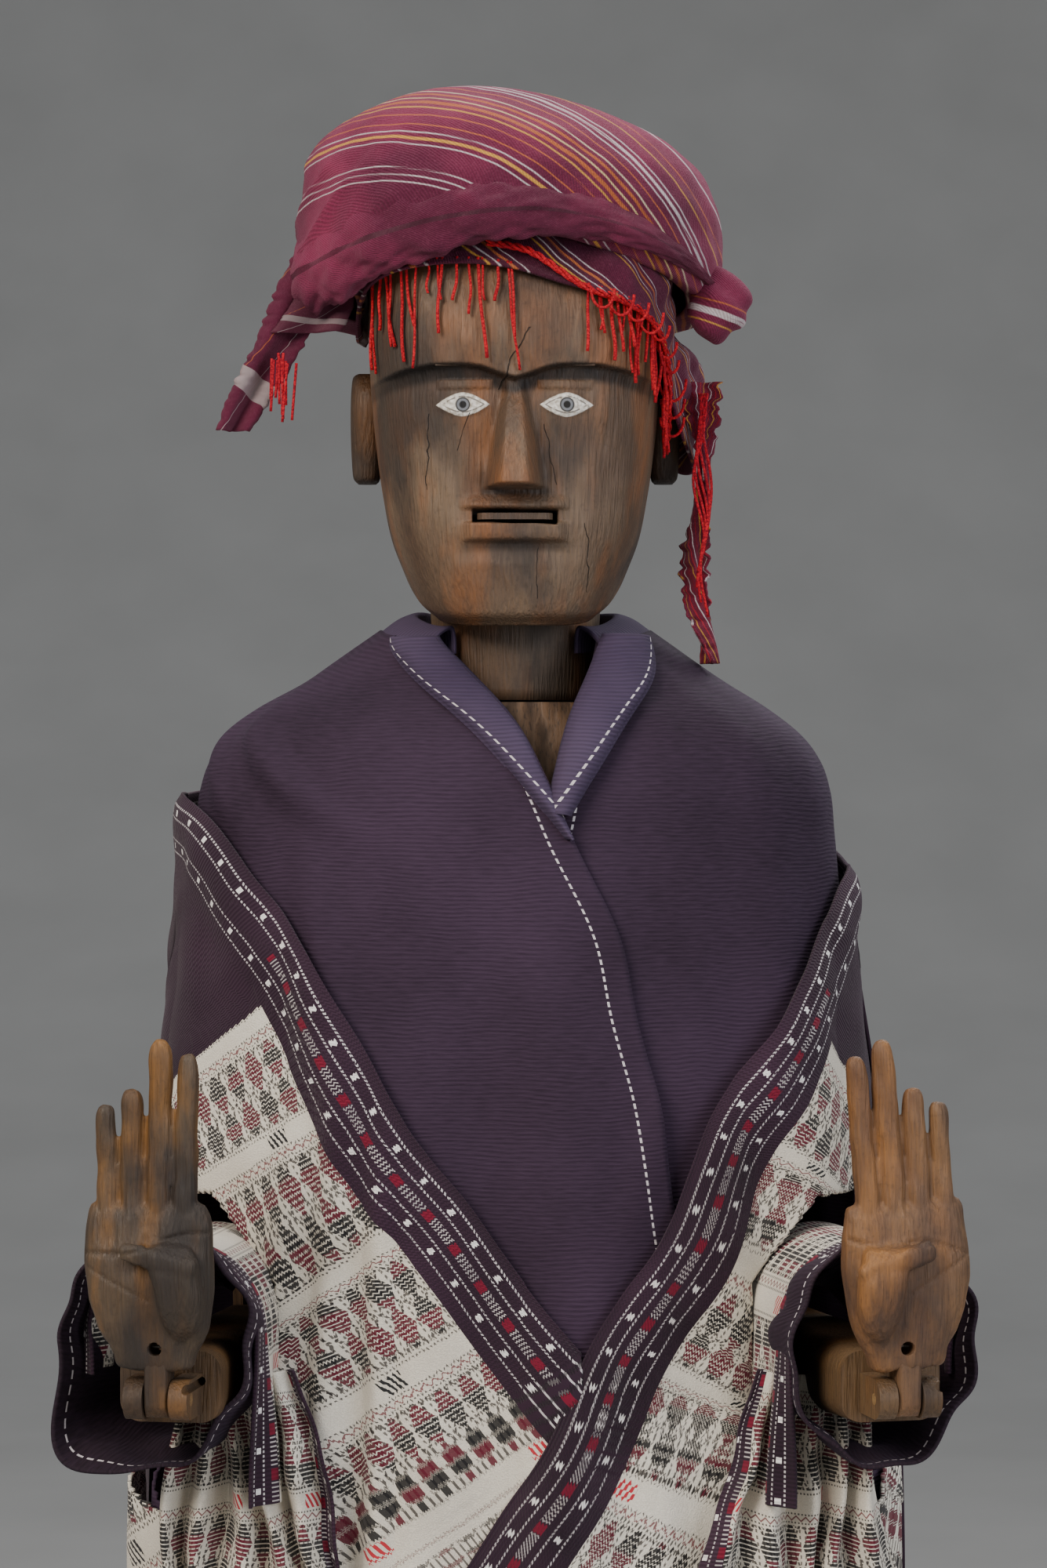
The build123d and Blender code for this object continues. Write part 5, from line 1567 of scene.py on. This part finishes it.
@dataclass
class Sarong:
    """Wrapped skirt from the thighs to the ankles."""

    rows: Curve = ((112, 172, 134), (300, 150, 114), (450, 134, 100), (570, 118, 85))

    def make(self) -> None:
        """Build the skirt and its wrapped front fold."""
        look = RibbedCotton("handspun_cotton_indigo_skirt", "3a2a33", "251a21", rib=2.6, stripes=True).make()
        turn = np.radians(np.linspace(-8, 376, 320))[None]
        z = np.linspace(570, 112, 120)[:, None]
        a, b = np.moveaxis(lookup(self.rows, z), -1, 0)
        fall = 1 - ease(330, 560, z)
        out = 3.5 * fall * np.sin(11 * turn + np.sin(z / 80)) + 4.0 * ease(6.0, 6.5, turn) - 1
        points = spread_grid((a + out) * np.sin(turn), -(b + out) * np.cos(turn), z)
        cloth = spread_grid(150 * turn, z)
        hem = np.broadcast_to(z - 112, points.shape[:2])
        piece = grid_mesh("sarong_cloth", points, cloth=cloth, marks={"hem": hem})
        thicken(piece, 2.0)
        dress(piece, look, "stand")
        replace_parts(piece, "sarong")


# ------------------------------------------------------------ hands


@dataclass
class Arm:
    """One forearm's sleeve and hand, built in the wrist's own frame and carried to it."""

    side: Side
    wrist: Array
    turn: float
    lean: float
    fingers: Curve = (
        (15.0, 12.6, 11.0, 172.0), (1.2, 0.0, 12.0, 179.0), (-13.4, -13.0, 11.6, 154.0),
        (-26.8, -25.6, 10.2, 146.0),
    )
    # Share of a finger's length, its width and depth against the finger's half width, and its sway.
    finger_form: Curve = (
        (0.0, 0.9, 0.95, 0.0), (0.06, 1.0, 1.1, 0.0), (0.35, 1.06, 1.08, 0.6), (0.55, 0.98, 1.0, 0.4),
        (0.8, 0.96, 0.92, -0.5), (0.93, 0.88, 0.8, -1.0), (0.985, 0.6, 0.55, -1.2), (1.0, 0.12, 0.12, -1.2),
    )
    palm: Curve = (
        (14.8, -1.5, 16.0, 7.0), (17.0, -1.6, 19.0, 8.8), (24.0, -2.2, 21.5, 9.6), (36.0, -3.0, 27.5, 11.0),
        (52.0, -4.2, 31.5, 12.0), (66.0, -4.8, 32.8, 11.6), (80.0, -5.0, 32.2, 9.6), (92.0, -5.4, 31.0, 7.6),
        (97.0, -5.6, 29.0, 5.0),
    )
    hole_z: float = 26.0

    @property
    def inward(self) -> int:
        """Sign of X towards the thumb."""
        return -self.side.value

    def hand(self) -> bpy.types.Object:
        """Carved open hand with its thumb folded across the palm."""
        parts = [blob("palm", [(z, self.inward * x, 0, a, b) for z, x, a, b in self.palm], 56, 2.9)]
        for tip_x, root_x, width, tip in self.fingers:
            half = width / 2
            rows = []
            for part, wide, deep, sway in self.finger_form:
                z = 82 + part * (tip - 82)
                x = root_x + (tip_x - root_x) * part
                rows.append((z, self.inward * x, sway - 0.8, wide * half, deep * half))
            parts.append(blob("finger", rows, 28, 2.7))
        thumb = ((30, 13, -7, 3, 3), (38, 14.5, -10.5, 8.5, 6), (50, 14, -13, 11.5, 8),
                 (60, 12.5, -14, 12, 8.4), (67, 10.5, -14, 12.5, 7.6), (73, 8.5, -13.6, 12.5, 6.6),
                 (77, 7.5, -12.5, 11, 4.2), (78.5, 7, -11, 6, 1))
        parts.append(blob("thumb", [(z, self.inward * x, y, a, b) for z, x, y, a, b in thumb], 36, 3.2))
        tip_rows = ((-21, 0.4, 0.4), (-19, 4, 3.4), (-8, 5.2, 4.6), (6, 5.6, 5.2), (17, 5.4, 5),
                    (20, 0.5, 0.5))
        tip = blob("thumb_tip", [(z, 0, 0, a, b) for z, a, b in tip_rows], 28, 3.0)
        self.lay_across(tip, np.array([self.inward * 4.5, -17.0, 70.5]), -self.inward * 0.24)
        parts.append(tip)
        tongue_rows = ((-9, 5.9, 1), (-8, 6.15, 4.6), (-4, 6.2, 8.2), (0, 6.2, 9), (9, 6.2, 9),
                       (20, 6.2, 8.6), (22, 6, 6))
        tongue = blob("tongue", [(z, 0, 0, a, b) for z, a, b in tongue_rows], 40, 6.0)
        piece = join(f"carved_hand_{self.side.label}", parts)
        remesh = piece.modifiers.new("one_skin", "REMESH")
        remesh.mode = "VOXEL"
        remesh.voxel_size = 1.15 * MM
        freeze(piece)
        soften = piece.modifiers.new("worn_edges", "SMOOTH")
        soften.factor, soften.iterations = 0.5, 5
        freeze(piece)
        self.carve(piece)
        self.bore(piece)
        place(piece, np.zeros(3), 0.0, -self.side.value * self.lean)
        piece = join(piece.name, [piece, tongue])
        place(piece, self.wrist, self.turn)
        dress(piece, self.wood(), f"hand_{self.side.label}")
        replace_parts(piece, f"hand_{self.side.label}")
        return piece

    def lay_across(self, piece: bpy.types.Object, spot: Array, slope: float) -> None:
        """Turn an upright form on its side, along X, and put it at a spot."""
        co = points_of(piece)
        x, z = co[:, 2], co[:, 0]
        c, s = math.cos(slope), math.sin(slope)
        moved = np.stack([c * x - s * z, co[:, 1], s * x + c * z], axis=1) + spot
        move_points(piece, moved)
        work = bmesh.new()
        work.from_mesh(piece.data)
        bmesh.ops.recalc_face_normals(work, faces=work.faces)
        work.to_mesh(piece.data)
        work.free()

    def carve(self, piece: bpy.types.Object) -> None:
        """Press knife facets, finger creases and palm lines into the hand."""
        co = points_of(piece)
        normal = np.array([v.normal for v in piece.data.vertices])
        x, y, z = co.T
        depth = 0.34 * ripple(x, 0.45 * z, 12, 91 + self.side.value) + 0.16 * ripple(x + y, 0.3 * z, 5, 93)
        line = np.abs(z - 78 - 0.18 * self.inward * x - 2 * np.sin(x / 9))
        depth -= 0.9 * (1 - ease(0, 1.8, line)) * (y < -4)
        line = np.abs(z - 50 + 0.5 * self.inward * (x + 3))
        depth -= 0.7 * (1 - ease(0, 1.6, line)) * (y < -6) * (self.inward * x < -2)
        co = co + normal * depth[:, None]
        move_points(piece, co)

    def bore(self, piece: bpy.types.Object) -> None:
        """Drill the string hole through the heel of the hand."""
        ends = ((-30, 3.4), (-29, 3.5), (29, 3.5), (30, 3.4))
        drill = blob("drill", [(z, 0, 0, radius, radius) for z, radius in ends], 24, 2.0)
        x, y, z = points_of(drill).T
        move_points(drill, np.stack([x, -z, y + self.hole_z], axis=1))
        cut = piece.modifiers.new("string_hole", "BOOLEAN")
        cut.operation, cut.object, cut.solver = "DIFFERENCE", drill, "EXACT"
        freeze(piece)
        bpy.data.objects.remove(drill)

    def wood(self) -> bpy.types.Material:
        """Hand's wood: dark and greyed on the right, lighter and warmer on the left."""
        if self.side is Side.RIGHT:
            return CarvedWood("jackfruit_wood_carved_hand_dark", "43352a", "94652e", "1f1c1b", "62503b",
                              dark_low=0.43, warm_low=0.5).make()
        return CarvedWood("jackfruit_wood_carved_hand_light", "6a472c", "9c6a38", "262224", "84613f",
                          dark_low=0.49, warm_low=0.48).make()

    def sleeve(self) -> tuple[Array, Array]:
        """Wide sleeve from the elbow to the wrist, open in front, in the wrist's frame."""
        angle = np.radians(np.linspace(0, 360, 160, endpoint=False))[None]
        t = np.linspace(0, 1, 70)[:, None]
        out = 13.0 if self.side is Side.RIGHT else 2.0
        half_x = 35 + 14 * t + 2 * ripple(40 * angle, 90 * t, 46, 95)
        half_z = 33 + 21 * t + 2 * ripple(40 * angle, 90 * t, 40, 97)
        pleat = 1.8 * np.sin(9 * angle + 3 * t) * ease(0.1, 0.7, t)
        y = 165 - 127 * t + 4 * np.sin(2 * angle) * ease(0.7, 1, t)
        drawn_out = 12.0 if self.side is Side.RIGHT else 0.0
        corner = drawn_out * bump(np.degrees(angle), 180 - 45 * self.side.value, 42) * t**2
        x = self.side.value * (out * t + corner) + (half_x + pleat) * np.sin(angle)
        z = 2 + 22 * t + (half_z + pleat) * np.cos(angle)
        z = z - 12 * ease(0.2, 1, t) * bump(np.degrees(angle), 180, 80) - 1.6 * corner
        points = spread_grid(x, y, z)
        cloth = spread_grid(127 * (1 - t), 48 * angle)
        return points, cloth

    def drape(self) -> tuple[Array, Array]:
        """End of the shawl thrown over the forearm: it hangs on both sides of it, in the wrist's frame."""
        s = np.linspace(-1, 1, 230)[None]
        t = np.linspace(0, 1, 80)[:, None]
        arc = np.where(s * self.inward > 0, 150, 84) * s
        bent, bend, wide, high, middle = 62, 40, 45, 46, 24
        over = np.abs(arc) < bent
        around = arc / bend
        hang = np.abs(arc) - bent
        x = np.where(over, wide * np.sin(around), np.sign(arc) * (wide * math.sin(bent / bend) + 0.02 * hang))
        z = np.where(over, middle + high * np.cos(around), middle + high * math.cos(bent / bend) - hang)
        y = 158 - 104 * t
        fold = 5.5 * np.sin(5.5 * math.pi * t + 0.5 * np.sign(s)) * ease(0.35, 1, np.abs(s))
        x = x + fold * np.sign(arc)
        x = x + self.side.value * (8 if self.side is Side.RIGHT else 2)
        points = spread_grid(x, y, z)
        cloth = spread_grid(190 + arc, 104 * (1 - t))
        return points, cloth

    def fall(self) -> tuple[Array, Array]:
        """Folds that fall from under the forearm in front of the body, in the wrist's frame."""
        s = np.linspace(0, 1, 200)[None]
        t = np.linspace(0, 1, 110)[:, None]
        inner, outer = 50 + 30 * t ** 0.8, -8 - 14 * t
        x = self.inward * (inner + (outer - inner) * s) + 5 * np.sin(5 * t + 9 * s) * t
        deep = 3 + 6 * ease(0, 0.5, t)
        y = 84 - 6 * t + deep * np.sin(31 * s + 1.6 * t + self.side.value) + 2 * ripple(60 * s, 90 * t, 30,
                                                                                        99)
        z = 4 - 114 * t + 3 * np.sin(12 * s) * t - 10 * s * (1 - t)
        points = spread_grid(x, y, z)
        cloth = spread_grid(66 + 120 * t + 8 * s, 6 + 190 * s)
        return points, cloth

    def make(self, robe_cloth: bpy.types.Material, shawl_cloth: bpy.types.Material) -> None:
        """Build the hand, the sleeve and the cloth over the forearm.

        Args:
            robe_cloth: Material of the sleeve.
            shawl_cloth: Material of the cloth thrown over the forearm.
        """
        LOG.info("made %s", self.hand().name)
        for name, made, look, slot, wrap in (
            (f"sleeve_cloth_{self.side.label}", self.sleeve(), robe_cloth, "robe_cloth", True),
            (f"shawl_over_arm_{self.side.label}", self.drape(), shawl_cloth, "shawl_cloth", False),
            (f"shawl_fall_{self.side.label}", self.fall(), shawl_cloth, "shawl_cloth", False),
        ):
            points, cloth = made
            piece = grid_mesh(name, points, cloth=cloth, wrap=wrap)
            place(piece, self.wrist, self.turn)
            thicken(piece, 1.8, 0.0)
            dress(piece, look, f"forearm_{self.side.label}")
            if wrap:
                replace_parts(piece, f"sleeve_{self.side.label}")


# ------------------------------------------------------------ carried-over parts


@dataclass
class Woodwork:
    """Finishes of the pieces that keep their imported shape."""

    timber: dict[str, PlainWood] = field(default_factory=lambda: {
        "board_wood": PlainWood("teak_planed_weathered", "7a5a3c", "4a3423", (0.06, 1.0, 1.0)),
        "trunk_wood": PlainWood("jackfruit_wood_adzed_trunk", "6b4e33", "3a291b"),
        "pegs": PlainWood("bamboo_whittled_pegs", "9a7a4e", "6a4f30", (1.0, 0.1, 1.0)),
    })

    def make(self, nodes: dict[str, bpy.types.Object], replaced: set[str], slots: dict[str, str]) -> None:
        """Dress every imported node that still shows.

        Args:
            nodes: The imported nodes.
            replaced: Nodes that another piece stands for.
            slots: Record slot of each node.
        """
        looks = {slot: wood.make() for slot, wood in self.timber.items()}
        looks["head_wood"] = CarvedWood("jackfruit_wood_carved_slips", "4c3b2e", "6f4c30", "2a2421",
                                        "66533f").make()
        looks["hand_wood"] = CarvedWood("jackfruit_wood_carved_forearm", "5a432c", "80582e", "241f1d",
                                        "6f5539",
                                        dark_low=0.47).make()
        looks["staple_wire"] = RustyWire().make()
        for node, slot in slots.items():
            piece = nodes[node]
            if node in replaced or slot not in looks:
                continue
            piece.data.materials.clear()
            piece.data.materials.append(looks[slot])
            LOG.info("dressed %s", node)


# ------------------------------------------------------------ stage


@dataclass
class Studio:
    """Pale floor, soft lights and the camera straight in front of the chest."""

    camera_y: float = -2.2
    camera_z: float = 0.992
    camera_x: float = 0.0045
    lens: float = 91.7
    sweep_y: float = 4200.0
    sweep_radius: float = 5000.0
    floor_half: float = 40000.0
    chest_z: float = 1.0

    def make(self) -> None:
        """Build the floor, the lights and the camera."""
        bend = np.linspace(0, 1.45, 40)[1:]
        level_y = np.linspace(-self.floor_half, self.sweep_y, 12)
        run_y = np.concatenate([level_y, self.sweep_y + self.sweep_radius * np.sin(bend)])
        run_z = np.concatenate([np.zeros(12), self.sweep_radius * (1 - np.cos(bend))])
        across = np.linspace(-self.floor_half, self.floor_half, 9)
        points = spread_grid(across[None], run_y[:, None], run_z[:, None])
        floor = grid_mesh("studio_floor", points)

        def paint(b: Bench) -> tuple[object, object, object]:
            where = b.on_piece()
            return b.blend(b.noise(where, 3.0, 0.3, 0.7), "b7b6b4", "b0afad"), None, None

        material = shader("studio_paper", 0.9, 0.0, paint, specular=0.1)
        floor.data.materials.append(material)
        for name, spot, size, power, tint in (
            ("key", (-1.5, -2.2, 2.4), 1.3, 86, "fff6ec"), ("fill", (1.8, -2.0, 1.5), 1.6, 38, "eef3ff"),
            ("top", (0.1, -0.2, 3.0), 1.4, 26, "ffffff"), ("rim", (0.9, 1.1, 2.2), 0.9, 16, "ffffff"),
        ):
            data = bpy.data.lights.new(name, "AREA")
            data.size, data.energy, data.color = size, power, linear(tint)[:3]
            lamp = bpy.data.objects.new(name, data)
            lamp.location = spot
            aim = -np.array([spot[0], spot[1], spot[2] - self.chest_z])
            lamp.rotation_euler = (math.atan2(math.hypot(aim[0], aim[1]), -aim[2]), 0,
                                   math.atan2(aim[1], aim[0]) - math.pi / 2)
            bpy.context.scene.collection.objects.link(lamp)
        world = bpy.data.worlds.new("studio_air")
        world.use_nodes = True
        world.node_tree.nodes["Background"].inputs[0].default_value = linear("d6dade")
        world.node_tree.nodes["Background"].inputs[1].default_value = 0.5
        bpy.context.scene.world = world
        data = bpy.data.cameras.new("camera")
        data.sensor_fit, data.sensor_height, data.sensor_width = "VERTICAL", 36, 36
        data.lens = self.lens
        camera = bpy.data.objects.new("camera", data)
        camera.location = (self.camera_x, self.camera_y, self.camera_z)
        camera.rotation_euler = (math.pi / 2, 0, 0)
        bpy.context.scene.collection.objects.link(camera)
        bpy.context.scene.camera = camera


def main() -> None:
    """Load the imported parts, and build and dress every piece."""
    logging.basicConfig(level=logging.INFO, format="%(message)s")
    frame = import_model()
    record = frame["record"]
    joints = {joint["name"]: joint for joint in frame["joints"]}
    slots = {part["node"]: part["material_slot"] for part in record["subparts"]}
    Studio().make()
    head = Head()
    LOG.info("made %s", head.make().name)
    Turban(head).make()
    robe = Robe()
    robe.make()
    Shawl(robe).make()
    Sarong().make()
    # Painted shade: the sleeves use a darker copy of the robe's cloth.
    sleeve_cloth = RibbedCotton("handspun_cotton_aubergine_sleeve", "35272f", "1f161c", dash_at=9.0).make()
    shawl_cloth = ShawlWeave("handwoven_cotton_over_arm", border=20.0, cream_from=-400.0).make()
    for side in Side:
        wrist = joints[f"wrist_{side.label}"]
        axis = wrist["axis"]
        lean = 0.0 if side is Side.RIGHT else math.radians(4.0)
        Arm(side, np.array(wrist["pos_m"]), math.atan2(axis[1], axis[0]), lean).make(sleeve_cloth,
                                                                                     shawl_cloth)
    replaced = {name for piece in bpy.data.objects for name in list(piece.get("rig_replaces", []))}
    Woodwork().make(frame["nodes"], replaced, slots)


if __name__ == "__main__":
    main()
